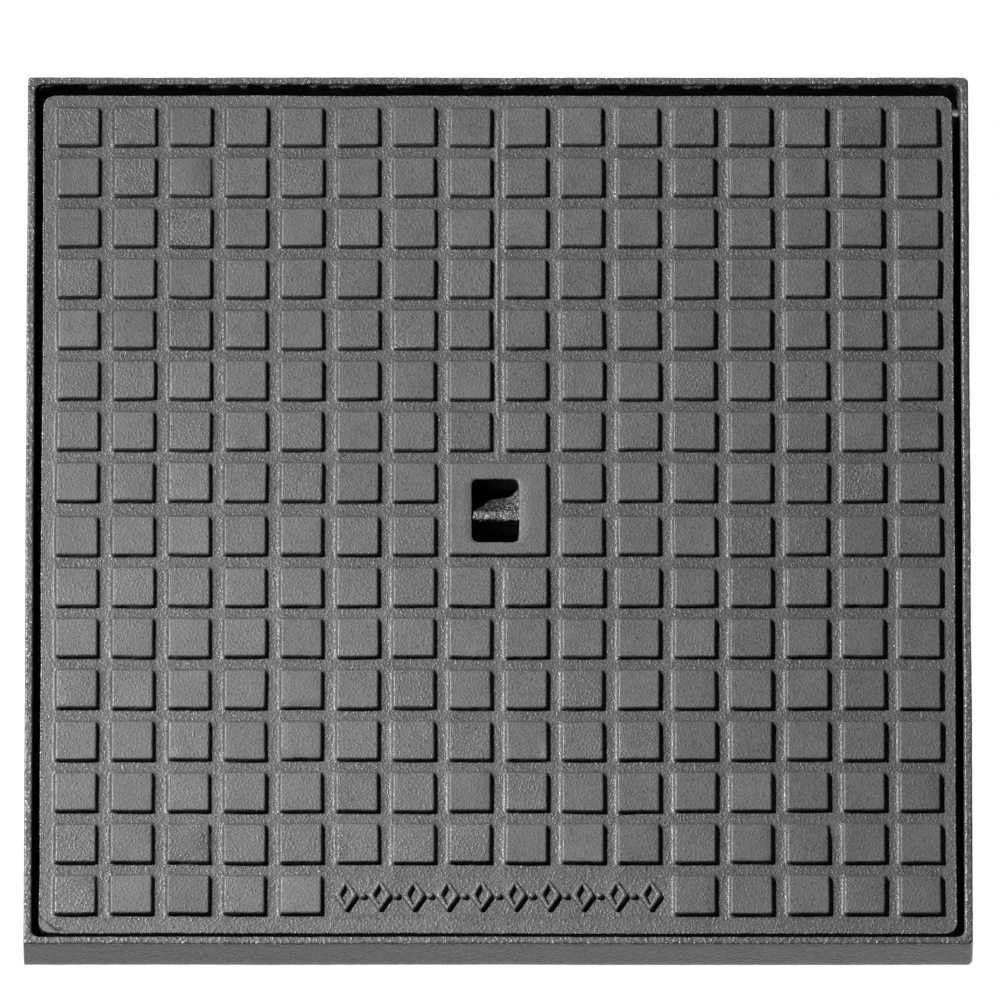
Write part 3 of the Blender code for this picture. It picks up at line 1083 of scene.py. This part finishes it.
@dataclass
class Ornament:
    """Open lozenges with pips between them, cast in relief on the front row."""

    cover: CoverCasting
    lozenges: int = 10
    inset: float = 1.8 * MM
    spacing: float = 6.8 * MM
    stroke: float = 3.8 * MM
    pip_radius: float = 1.9 * MM
    height: float = 2.8 * MM
    sunk: float = 0.6 * MM
    draft: float = 0.8 * MM
    corner_steps: int = 5
    side_steps: int = 6

    def rounded_lozenge(self, half_x: float, half_y: float, bend: float) -> np.ndarray:
        """Points round a lozenge with bent corners, anticlockwise from +X."""
        corners = np.array([(half_x, 0.0), (0.0, half_y), (-half_x, 0.0), (0.0, -half_y)])
        points: list[np.ndarray] = []
        for index, corner in enumerate(corners):
            before = corners[index - 1] - corner
            after = corners[(index + 1) % 4] - corner
            start = corner + before / np.hypot(*before) * bend
            end = corner + after / np.hypot(*after) * bend
            for share in np.linspace(0, 1, self.corner_steps):
                first = start * (1 - share) + corner * share
                second = corner * (1 - share) + end * share
                points.append(first * (1 - share) + second * share)
            far = corners[(index + 1) % 4]
            stop = far + (corner - far) / np.hypot(*after) * bend
            points += [end + (stop - end) * share for share in np.linspace(0, 1, self.side_steps)[1:-1]]
        return np.array(points)

    def relief_steps(self) -> list[tuple[float, float]]:
        """How far out from the stroke's edge, and how high, each ring of a relief's wall lies."""
        return [
            (self.draft, -self.sunk),
            (self.draft * 0.9, 0.25 * MM),
            (self.draft * 0.2, self.height - 0.9 * MM),
            (-self.draft * 0.5, self.height - 0.2 * MM),
            (-self.draft * 1.2, self.height),
        ]

    def add_lozenge(self, skin: CastSkin, x: float, y: float, noise: SmoothNoise) -> None:
        """Add one open lozenge to the skin."""
        pattern = self.cover.pattern
        half_y = pattern.size / 2 - self.inset
        pitch = pattern.ornament_treads * pattern.pitch / self.lozenges
        half_x = (pitch - self.spacing) / 2
        outer = [(move, level, 1.6 * MM) for move, level in self.relief_steps()]
        inner = [(-self.stroke - move, level, 0.7 * MM) for move, level in reversed(self.relief_steps())]
        rings = []
        for move, level, bend in outer + inner:
            flat = self.rounded_lozenge(half_x + move, half_y + move, bend)
            waver = 0.13 * MM * noise.layered(flat[:, 0] + x, flat[:, 1] + level, 3 * MM)
            z = np.full(len(flat), self.cover.plate_top + level) + waver
            rings.append(skin.add(np.stack([flat[:, 0] + x + waver, flat[:, 1] + y, z], axis=1), 0.35, 0.2))
        skin.join_all(rings, closed=True)

    def add_pip(self, skin: CastSkin, x: float, y: float) -> None:
        """Add one round pip to the skin."""
        turns = np.linspace(0, math.tau, 20, endpoint=False)
        rings = []
        for move, level in self.relief_steps():
            radius = self.pip_radius + move
            z = np.full(len(turns), self.cover.plate_top + level)
            ring = np.stack([x + radius * np.cos(turns), y + radius * np.sin(turns), z], axis=1)
            rings.append(skin.add(ring, 0.35, 0.2))
        skin.join_all(rings)
        skin.faces.append(tuple(int(number) for number in rings[0]))
        skin.faces.append(tuple(int(number) for number in rings[-1]))

    def build(self) -> bpy.types.Object:
        """Build the row and return its object."""
        pattern = self.cover.pattern
        pitch = pattern.ornament_treads * pattern.pitch / self.lozenges
        row = float(pattern.row_middle(0))
        noise = SmoothNoise(31)
        skin = CastSkin()
        for place in range(self.lozenges):
            x = (place - (self.lozenges - 1) / 2) * pitch
            self.add_lozenge(skin, x, row, noise)
            if place + 1 < self.lozenges:
                self.add_pip(skin, x + pitch / 2, row)
        return skin.to_object("cast_ornament", self.cover.origin)


@dataclass
class FrameCasting:
    """The frame: a thin wall with a seat at its foot, carried round the square."""

    low: Vector
    high: Vector
    wall: float = 5.0 * MM
    wall_draft: float = 1.2 * MM
    seat_width: float = 22.0 * MM
    seat: float = 6.0 * MM
    inner_radius: float = 5.5 * MM
    opening_radius: float = 25.0 * MM
    corner_radii: tuple[float, float, float, float] = (3.6 * MM, 2.2 * MM, 1.2 * MM, 3.4 * MM)
    flash: float = 2.5 * MM
    flash_inset: float = 5.11 * MM
    flash_rough_and_glints: float = 1.6
    flash_painted_glint: float = 4.0
    inner_painted_shade: float = -2.3
    rim_smooth: float = 0.4
    rim_edge_rough: float = -0.6
    side_points: int = 260
    corner_points: int = 9
    noise: SmoothNoise = field(default_factory=lambda: SmoothNoise(41))

    def section(self) -> list[tuple[float, float, float]]:
        """Inset, level and corner rule of each ring: 0 outer radius, 1 inner, 2 opening."""
        top = self.high.z
        foot = self.wall + self.wall_draft
        end = self.wall + self.seat_width
        return [
            (0.5 * MM, 0.0, 0),
            (0.0, 0.5 * MM, 0),
            (0.0, top * 0.2, 0),
            (0.0, top * 0.4, 0),
            (0.0, top * 0.6, 0),
            (0.0, top * 0.8, 0),
            (0.05 * MM, top - 1.1 * MM, 0),
            (0.30 * MM, top - 0.35 * MM, 0),
            (0.95 * MM, top - 0.03 * MM, 0),
            (1.9 * MM, top, 0.3),
            (3.1 * MM, top, 0.7),
            (self.wall - 0.95 * MM, top - 0.03 * MM, 1),
            (self.wall - 0.30 * MM, top - 0.35 * MM, 1),
            (self.wall, top - 1.1 * MM, 1),
            (self.wall + 0.1 * MM, top - 2.3 * MM, 1),
            (self.flash_inset, top - 3.0 * MM, 1),
            (self.wall + 0.12 * MM, top - 3.7 * MM, 1),
            (self.wall + self.wall_draft * 0.5, top * 0.58, 1),
            (self.wall + self.wall_draft * 0.75, top * 0.39, 1),
            (foot, self.seat + 1.5 * MM, 1),
            (foot + 0.5 * MM, self.seat + 0.45 * MM, 1),
            (foot + 1.5 * MM, self.seat, 1),
            (foot + 6.0 * MM, self.seat, 1.3),
            (end - 6.0 * MM, self.seat, 1.8),
            (end - 0.7 * MM, self.seat, 2),
            (end, self.seat - 0.7 * MM, 2),
            (end, 0.6 * MM, 2),
            (end - 0.6 * MM, 0.0, 2),
            (end * 0.5, 0.0, 1),
        ]

    def ring(self, inset: float, rule: float) -> np.ndarray:
        """Points round the square at one inset, anticlockwise from the back right corner."""
        half = (self.high.x - self.low.x) / 2 - inset
        parts = []
        turns = np.linspace(0, math.pi / 2, self.corner_points)
        signs = ((1, 1), (-1, 1), (-1, -1), (1, -1))
        corners = []
        for index, (side_x, side_y) in enumerate(signs):
            marks = (self.corner_radii[index], self.inner_radius, self.opening_radius)
            radius = float(np.interp(rule, (0, 1, 2), marks))
            centre = np.array([side_x, side_y]) * (half - radius)
            angles = turns + index * math.pi / 2
            arc = centre + radius * np.stack([np.cos(angles), np.sin(angles)], axis=1)
            corners.append(arc)
        for index, arc in enumerate(corners):
            following = corners[(index + 1) % 4]
            share = np.linspace(0, 1, self.side_points + 2)[1:-1, None]
            parts += [arc, arc[-1] * (1 - share) + following[0] * share]
        return np.concatenate(parts)

    def build(self) -> bpy.types.Object:
        """Build the casting and return its object."""
        skin = CastSkin()
        square = RoundedRectangle(self.high.x, self.high.y, self.inner_radius)
        rings = []
        for inset, level, rule in self.section():
            flat = self.ring(inset, rule)
            out_x, out_y = square.outward(flat[:, 0], flat[:, 1])
            on_rim = smooth_step(np.array((level - self.high.z + 3 * MM) / (2 * MM)))
            along = np.arange(len(flat)) * 2.2 * MM
            ripple = self.noise.layered(along, along * 0 + inset * 1.7 + level, 4.5 * MM)
            drift = self.noise.at(flat[:, 0], flat[:, 1], 70 * MM)
            move = (0.10 + 0.10 * on_rim) * MM * ripple + 0.22 * MM * drift
            flash = smooth_step(self.noise.layered(along + 0.6, along * 0, 7 * MM) * 2.2)
            move = move - self.flash * flash * (inset == self.flash_inset) * (out_y > 0.9)
            lift = 0.09 * MM * on_rim * self.noise.layered(along + 0.3, along * 0 + inset, 5 * MM)
            grounded = level < 0.01 * MM
            z = np.full(len(flat), level) + (0.0 if grounded else 1.0) * lift
            points = np.stack([flat[:, 0] + out_x * move, flat[:, 1] + out_y * move, z], axis=1)
            worn = 0.0 if self.wall * 0.3 < inset < self.wall * 0.7 else self.rim_edge_rough
            smooth = np.full(len(flat), (self.rim_smooth + worn) * float(on_rim))
            on_wall = self.wall * 0.99 < inset < self.wall + self.wall_draft * 1.01
            inner = on_wall and level < self.high.z - 2 * MM
            # The inner wall below the rim is painted near black, painted shade in the gap round the cover;
            # the right side, whose wall faces the lamp, is left plain.
            tone = np.full(len(flat), self.inner_painted_shade if inner else 0.0) * (out_x < 0.9)
            # The flash along the back is painted lighter and roughened for bright grains: painted glints
            # where the lamp catches it.
            if inset == self.flash_inset:
                tone = tone + self.flash_painted_glint * flash * (out_y > 0.9)
                smooth = smooth - self.flash_rough_and_glints * flash * (out_y > 0.9)
            rings.append(skin.add(points, smooth, tone))
        skin.join_all(rings, closed=True)
        return skin.to_object("frame_casting", Vector((0.0, 0.0, 0.0)))


def new_group(
    name: str, inputs: dict[str, tuple[str, object]], outputs: dict[str, str]
) -> bpy.types.NodeTree:
    """Make an empty node group with named sockets.

    Args:
        name: The group's name.
        inputs: For each input, its socket type and its default value.
        outputs: For each output, its socket type.

    Returns:
        The group, with its input and output nodes in it.
    """
    group = bpy.data.node_groups.new(name, "ShaderNodeTree")
    for title, (kind, value) in inputs.items():
        socket = group.interface.new_socket(title, in_out="INPUT", socket_type=kind)
        socket.default_value = value
    for title, kind in outputs.items():
        group.interface.new_socket(title, in_out="OUTPUT", socket_type=kind)
    group.nodes.new("NodeGroupInput").name = "given"
    group.nodes.new("NodeGroupOutput").name = "result"
    return group


@dataclass
class NodeWeb:
    """Short ways to add and wire the nodes of one tree."""

    tree: bpy.types.NodeTree

    def add(self, kind: str, **settings: object) -> bpy.types.Node:
        """Add a node and set its properties."""
        node = self.tree.nodes.new(kind)
        for title, value in settings.items():
            setattr(node, title, value)
        return node

    def wire(self, source: bpy.types.NodeSocket, target: bpy.types.NodeSocket) -> None:
        """Link two sockets."""
        self.tree.links.new(source, target)

    def math(
        self, operation: str, first: object, second: object = 0.0, third: object = 0.0
    ) -> bpy.types.NodeSocket:
        """Add a Math node.

        Args:
            operation: The node's operation.
            first: A socket or a number for the first input.
            second: The same for the second input.
            third: The same for the third input.

        Returns:
            The result's socket.
        """
        node = self.add("ShaderNodeMath", operation=operation)
        for index, value in enumerate((first, second, third)):
            if isinstance(value, bpy.types.NodeSocket):
                self.wire(value, node.inputs[index])
            else:
                node.inputs[index].default_value = value
        return node.outputs[0]

    def limited(self, value: bpy.types.NodeSocket) -> bpy.types.NodeSocket:
        """The value held between 0 and 1."""
        return self.math("MINIMUM", self.math("MAXIMUM", value, 0.0), 1.0)

    def mix(self, share: object, first: object, second: object) -> bpy.types.NodeSocket:
        """Mix two colours by a share, and return the result's socket."""
        node = self.add("ShaderNodeMix", data_type="RGBA", clamp_factor=True)
        for source, title in ((share, "Factor"), (first, "A"), (second, "B")):
            self.wire(source, next(s for s in node.inputs if s.name == title and s.enabled))
        return next(s for s in node.outputs if s.enabled)

    def rgb(self, grey: float) -> bpy.types.NodeSocket:
        """An even grey's socket."""
        node = self.add("ShaderNodeRGB")
        node.outputs[0].default_value = (grey, grey, grey, 1.0)
        return node.outputs[0]

    def noise(
        self, scale: object, detail: float, roughness: float, place: bpy.types.NodeSocket
    ) -> bpy.types.NodeSocket:
        """Add a Noise texture.

        Args:
            scale: A socket or a number, in features for each metre.
            detail: Number of finer layers.
            roughness: How strong each finer layer is.
            place: Where the noise is read.

        Returns:
            Its factor's socket.
        """
        node = self.add("ShaderNodeTexNoise")
        node.inputs["Detail"].default_value = detail
        node.inputs["Roughness"].default_value = roughness
        self.wire(place, node.inputs["Vector"])
        if isinstance(scale, bpy.types.NodeSocket):
            self.wire(scale, node.inputs["Scale"])
        else:
            node.inputs["Scale"].default_value = scale
        return node.outputs["Fac"]


GRAINS_LOST_WHEN_SMOOTH = 0.112
CLOUDS_PER_METRE = 45.0
SPECKS_PER_METRE = 500.0
PAINTED_SHADE_PATCHES_PER_METRE = 470.0
PAINTED_SHADE_STRENGTH = -0.6
PAINTED_SHADE_GREY = 0.008
PIT_GREY = 0.01
LEAST_ROUGHNESS = 0.16


def cast_grain_group() -> bpy.types.NodeTree:
    """The sand grain of a cast skin under paint: a height, dark pits and bright rubbed grains, which also
    stand in for glints as a painted highlight.
    """
    group = new_group(
        "cast_grain",
        {
            "Scale": ("NodeSocketFloat", 600.0),
            "Smooth": ("NodeSocketFloat", 0.0),
            "Worn Share": ("NodeSocketFloat", 0.25),
            "Rubbed And Glints": ("NodeSocketFloat", 0.6),
        },
        {"Height": "NodeSocketFloat", "Pits": "NodeSocketFloat", "Grains And Glints": "NodeSocketFloat"},
    )
    web = NodeWeb(group)
    given = group.nodes["given"].outputs
    made = group.nodes["result"].inputs
    place = web.add("ShaderNodeTexCoord").outputs["Object"]
    coarse = web.noise(web.math("MULTIPLY", given["Scale"], 0.8), 1.0, 0.5, place)
    fine = web.noise(web.math("MULTIPLY", given["Scale"], 1.9), 0.0, 0.5, place)
    lumps = web.math("MAXIMUM", web.math("SUBTRACT", coarse, 0.50), 0.0)
    total = web.math("MULTIPLY_ADD", lumps, 2.2, web.math("MULTIPLY", coarse, 0.7))
    total = web.math("MULTIPLY_ADD", fine, 0.35, total)
    lost = web.math("SUBTRACT", given["Worn Share"], 1.0)
    keep = web.math("MULTIPLY_ADD", given["Smooth"], lost, 1.0)
    web.wire(web.math("MULTIPLY", total, keep), made["Height"])
    hollows = web.noise(web.math("MULTIPLY", given["Scale"], 0.85), 1.0, 0.5, place)
    pits = web.math("MULTIPLY", web.math("SUBTRACT", hollows, 0.62), 12.0)
    web.wire(web.limited(pits), made["Pits"])
    crumbs = web.noise(web.math("MULTIPLY", given["Scale"], 1.35), 1.0, 0.5, place)
    level = web.math("MULTIPLY_ADD", given["Smooth"], GRAINS_LOST_WHEN_SMOOTH, given["Rubbed And Glints"])
    grains_and_glints = web.math("MULTIPLY", web.math("SUBTRACT", crumbs, level), 14.0)
    web.wire(web.limited(grains_and_glints), made["Grains And Glints"])
    return group


def paint_tone_group() -> bpy.types.NodeTree:
    """Cloudy bitumen paint: a colour between two and a roughness, both changing over the surface; low tones
    run to near black as painted shade, and bright grains stand in for glints.
    """
    group = new_group(
        "paint_tone",
        {
            "Dark": ("NodeSocketColor", (0.1, 0.1, 0.1, 1.0)),
            "Light": ("NodeSocketColor", (0.2, 0.2, 0.2, 1.0)),
            "Tone": ("NodeSocketFloat", 0.0),
            "Bare": ("NodeSocketColor", (0.5, 0.5, 0.5, 1.0)),
            "Pits": ("NodeSocketFloat", 0.0),
            "Grains And Glints": ("NodeSocketFloat", 0.0),
            "Smooth": ("NodeSocketFloat", 0.0),
            "Roughness": ("NodeSocketFloat", 0.4),
        },
        {"Color": "NodeSocketColor", "Roughness": "NodeSocketFloat"},
    )
    web = NodeWeb(group)
    given = group.nodes["given"].outputs
    place = web.add("ShaderNodeTexCoord").outputs["Object"]
    clouds = web.noise(CLOUDS_PER_METRE, 3.0, 0.55, place)
    specks = web.noise(SPECKS_PER_METRE, 1.0, 0.6, place)
    share = web.math("MULTIPLY_ADD", clouds, 0.8, web.math("MULTIPLY", specks, 0.5))
    share = web.math("SUBTRACT", share, 0.15)
    share = web.math("MULTIPLY_ADD", given["Tone"], 0.13, share)
    painted = web.mix(share, given["Dark"], given["Light"])
    pitted = web.mix(web.math("MULTIPLY", given["Pits"], 0.6), painted, web.rgb(PIT_GREY))
    # Rubbed grains take the bright bare colour: partly wear, partly painted glints.
    rubbed_and_glints = web.mix(given["Grains And Glints"], pitted, given["Bare"])
    # Where the tone falls below about -1 the colour runs, in patches, to near black: painted shade. Roughness
    # rises there too.
    patches = web.noise(PAINTED_SHADE_PATCHES_PER_METRE, 2.0, 0.6, place)
    uneven = web.math("MULTIPLY_ADD", patches, 2.0, 0.0)
    depth = web.math("MULTIPLY_ADD", given["Tone"], uneven, 1.0)
    painted_shade = web.limited(web.math("MULTIPLY", depth, PAINTED_SHADE_STRENGTH))
    web.wire(web.mix(painted_shade, rubbed_and_glints, web.rgb(PAINTED_SHADE_GREY)), group.nodes["result"].inputs["Color"])
    roughness = web.math("MULTIPLY_ADD", web.math("SUBTRACT", specks, 0.5), 0.35, given["Roughness"])
    roughness = web.math("MULTIPLY_ADD", painted_shade, 0.4, roughness)
    roughness = web.math("MULTIPLY_ADD", given["Smooth"], 0.13, roughness)
    roughness = web.math("MAXIMUM", roughness, LEAST_ROUGHNESS)
    web.wire(roughness, group.nodes["result"].inputs["Roughness"])
    return group


@dataclass(frozen=True)
class IronPaint:
    """Black bitumen paint on a sand-cast iron skin."""

    name: str
    dark: Colour
    light: Colour
    grain_scale: float
    grain_depth: float
    worn_share: float
    rubbed_and_glints: float
    bare: Colour
    roughness: float
    metallic: float = 0.0

    def build(self, grain: bpy.types.NodeTree, tone: bpy.types.NodeTree) -> bpy.types.Material:
        """Make the material.

        Args:
            grain: The cast grain's node group.
            tone: The paint tone's node group.

        Returns:
            The material.
        """
        material = bpy.data.materials.new(self.name)
        material.use_nodes = True
        web = NodeWeb(material.node_tree)
        shader = material.node_tree.nodes["Principled BSDF"]
        smooth = web.add("ShaderNodeAttribute", attribute_name="smooth").outputs["Fac"]
        shade = web.add("ShaderNodeAttribute", attribute_name="tone").outputs["Fac"]
        skin = web.add("ShaderNodeGroup", node_tree=grain)
        paint = web.add("ShaderNodeGroup", node_tree=tone)
        for socket, value in (
            (skin.inputs["Scale"], self.grain_scale),
            (skin.inputs["Worn Share"], self.worn_share),
            (skin.inputs["Rubbed And Glints"], self.rubbed_and_glints),
            (paint.inputs["Dark"], self.dark),
            (paint.inputs["Light"], self.light),
            (paint.inputs["Bare"], self.bare),
            (paint.inputs["Roughness"], self.roughness),
        ):
            socket.default_value = value
        web.wire(smooth, skin.inputs["Smooth"])
        web.wire(smooth, paint.inputs["Smooth"])
        web.wire(shade, paint.inputs["Tone"])
        for title in ("Pits", "Grains And Glints"):
            web.wire(skin.outputs[title], paint.inputs[title])
        bump = web.add("ShaderNodeBump")
        bump.inputs["Strength"].default_value = 1.0
        bump.inputs["Distance"].default_value = self.grain_depth
        web.wire(skin.outputs["Height"], bump.inputs["Height"])
        web.wire(paint.outputs["Color"], shader.inputs["Base Color"])
        web.wire(paint.outputs["Roughness"], shader.inputs["Roughness"])
        web.wire(bump.outputs["Normal"], shader.inputs["Normal"])
        shader.inputs["Metallic"].default_value = self.metallic
        return material


COVER_PAINT = IronPaint(
    name="cover_iron_paint",
    dark=(0.036, 0.0372, 0.0374, 1.0),
    light=(0.086, 0.0885, 0.089, 1.0),
    grain_scale=820.0,
    grain_depth=0.34 * MM,
    worn_share=0.42,
    rubbed_and_glints=0.69,
    # The bare grains are bright enough to pass for glints: partly rubbed metal, partly painted highlight.
    bare=(0.43, 0.436, 0.436, 1.0),
    roughness=0.42,
)
FRAME_PAINT = IronPaint(
    name="frame_iron_paint",
    dark=(0.036, 0.039, 0.0385, 1.0),
    light=(0.086, 0.091, 0.090, 1.0),
    grain_scale=560.0,
    grain_depth=0.48 * MM,
    worn_share=0.5,
    rubbed_and_glints=0.655,
    # As on the cover, the bare grains are partly rubbed metal, partly painted glints.
    bare=(0.21, 0.22, 0.217, 1.0),
    roughness=0.40,
)


@dataclass(frozen=True)
class LampBeam:
    """One beam of the lamp: its power in watts, how wide it opens and where it points."""

    power: float
    cone: float
    target: tuple[float, float, float]


@dataclass
class Studio:
    """Floor, lights and camera. The floor doesn't glow near the middle, which leaves it dark under the
    casting as painted shade.
    """

    middle: Vector
    width: float
    floor_grey: float = 0.05
    surround: float = 0.015
    lens: float = 1300.0
    elevation: float = math.radians(66.5)
    share_of_view: float = 0.945
    aim_right: float = 1.2 * MM
    aim_up: float = 5.1 * MM
    key_place: tuple[float, float, float] = (-1.67, 0.69, 2.01)
    key_radius: float = 0.14
    beams: tuple[LampBeam, ...] = (
        LampBeam(715.0, math.radians(44.0), (0.50, -0.04, 0.0)),
        LampBeam(310.0, math.radians(27.0), (-0.36, -0.43, 0.0)),
    )
    shaded_floor_half: float = 0.298

    def add_floor(self) -> None:
        """Lay a plain white floor that glows a little, so that it stays pale, except under the casting, where
        it is left dark: painted shade.
        """
        shape = bmesh.new()
        bmesh.ops.create_grid(shape, x_segments=1, y_segments=1, size=40.0)
        mesh = bpy.data.meshes.new("studio_floor")
        shape.to_mesh(mesh)
        shape.free()
        floor = show(bpy.data.objects.new("studio_floor", mesh))
        material = bpy.data.materials.new("studio_floor")
        material.use_nodes = True
        web = NodeWeb(material.node_tree)
        place = web.add("ShaderNodeSeparateXYZ")
        web.wire(web.add("ShaderNodeTexCoord").outputs["Object"], place.inputs["Vector"])
        reach = [web.math("ABSOLUTE", place.outputs[axis]) for axis in ("X", "Y")]
        outside = web.math("GREATER_THAN", web.math("MAXIMUM", *reach), self.shaded_floor_half)
        glow = web.add("ShaderNodeCombineColor")
        for channel in ("Red", "Green", "Blue"):
            web.wire(outside, glow.inputs[channel])
        shader = material.node_tree.nodes["Principled BSDF"]
        web.wire(glow.outputs["Color"], shader.inputs["Emission Color"])
        grey = self.floor_grey
        shader.inputs["Base Color"].default_value = (grey, grey, grey, 1.0)
        shader.inputs["Roughness"].default_value = 1.0
        shader.inputs["Specular IOR Level"].default_value = 0.0
        shader.inputs["Emission Strength"].default_value = 1.0
        mesh.materials.append(material)

    def add_beam(self, name: str, beam: LampBeam) -> None:
        """Hang one round lamp, whose beam fades towards its edge."""
        data = bpy.data.lights.new(name, "SPOT")
        data.shadow_soft_size = self.key_radius
        data.energy = beam.power
        data.spot_size = beam.cone
        data.spot_blend = 1.0
        light = show(bpy.data.objects.new(name, data))
        light.location = self.key_place
        aim = Vector(beam.target) - light.location
        light.rotation_euler = aim.to_track_quat("-Z", "Y").to_euler()

    def add_lights(self) -> None:
        """Hang the key light and set a dim, even surround."""
        for number, beam in enumerate(self.beams):
            self.add_beam(f"key_beam_{number}", beam)
        world = bpy.data.worlds.new("studio")
        world.use_nodes = True
        background = world.node_tree.nodes["Background"]
        background.inputs["Color"].default_value = (1.0, 1.0, 1.0, 1.0)
        background.inputs["Strength"].default_value = self.surround
        bpy.context.scene.world = world

    def add_camera(self) -> None:
        """Stand the camera far off with a long lens, looking down from the front."""
        data = bpy.data.cameras.new("camera")
        data.lens = self.lens
        data.clip_start = 1.0
        data.clip_end = 100.0
        camera = show(bpy.data.objects.new("camera", data))
        distance = self.width / self.share_of_view * self.lens / data.sensor_width
        back = Vector((0.0, -math.cos(self.elevation), math.sin(self.elevation)))
        up = Vector((0.0, math.sin(self.elevation), math.cos(self.elevation)))
        target = self.middle + Vector((self.aim_right, 0, 0)) + up * self.aim_up
        camera.location = target + back * distance
        camera.rotation_euler = (-back).to_track_quat("-Z", "Y").to_euler()
        bpy.context.scene.camera = camera

    def build(self) -> None:
        """Set up the floor, the lights, the camera and a plain view transform."""
        self.add_floor()
        self.add_lights()
        self.add_camera()
        bpy.context.scene.view_settings.view_transform = "Standard"


def place_piece(
    piece: bpy.types.Object,
    body: str,
    material: bpy.types.Material,
    stands_for: Sequence[str] = (),
) -> None:
    """Dress a piece and fix it to its body.

    Args:
        piece: The piece's object.
        body: The body that it rides on.
        material: Its finish.
        stands_for: CAD nodes that it replaces.
    """
    piece.data.materials.append(material)
    if stands_for:
        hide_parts(*stands_for)
    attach(piece, body)
    LOG.info("%s: %d faces, rides on %s", piece.name, len(piece.data.polygons), body)


def main() -> None:
    logging.basicConfig(level=logging.INFO, format="%(name)s: %(message)s")
    grain = cast_grain_group()
    tone = paint_tone_group()
    cover_paint = COVER_PAINT.build(grain, tone)
    frame_paint = FRAME_PAINT.build(grain, tone)
    cover_low, cover_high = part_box("cover")
    frame_low, frame_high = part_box("frame")
    pattern = TreadPattern(cover_high.x - cover_low.x)
    cover = CoverCasting(cover_low, cover_high, pattern)
    place_piece(cover.build(), "cover", cover_paint, ["cover"])
    place_piece(KeyholeBridge(cover).build(), "cover", cover_paint)
    place_piece(Ornament(cover).build(), "cover", cover_paint)
    casting = FrameCasting(frame_low, frame_high)
    place_piece(casting.build(), "frame", frame_paint, ["frame"])
    middle = Vector((0.0, 0.0, frame_high.z))
    Studio(middle, frame_high.x - frame_low.x).build()


if __name__ == "__main__":
    main()
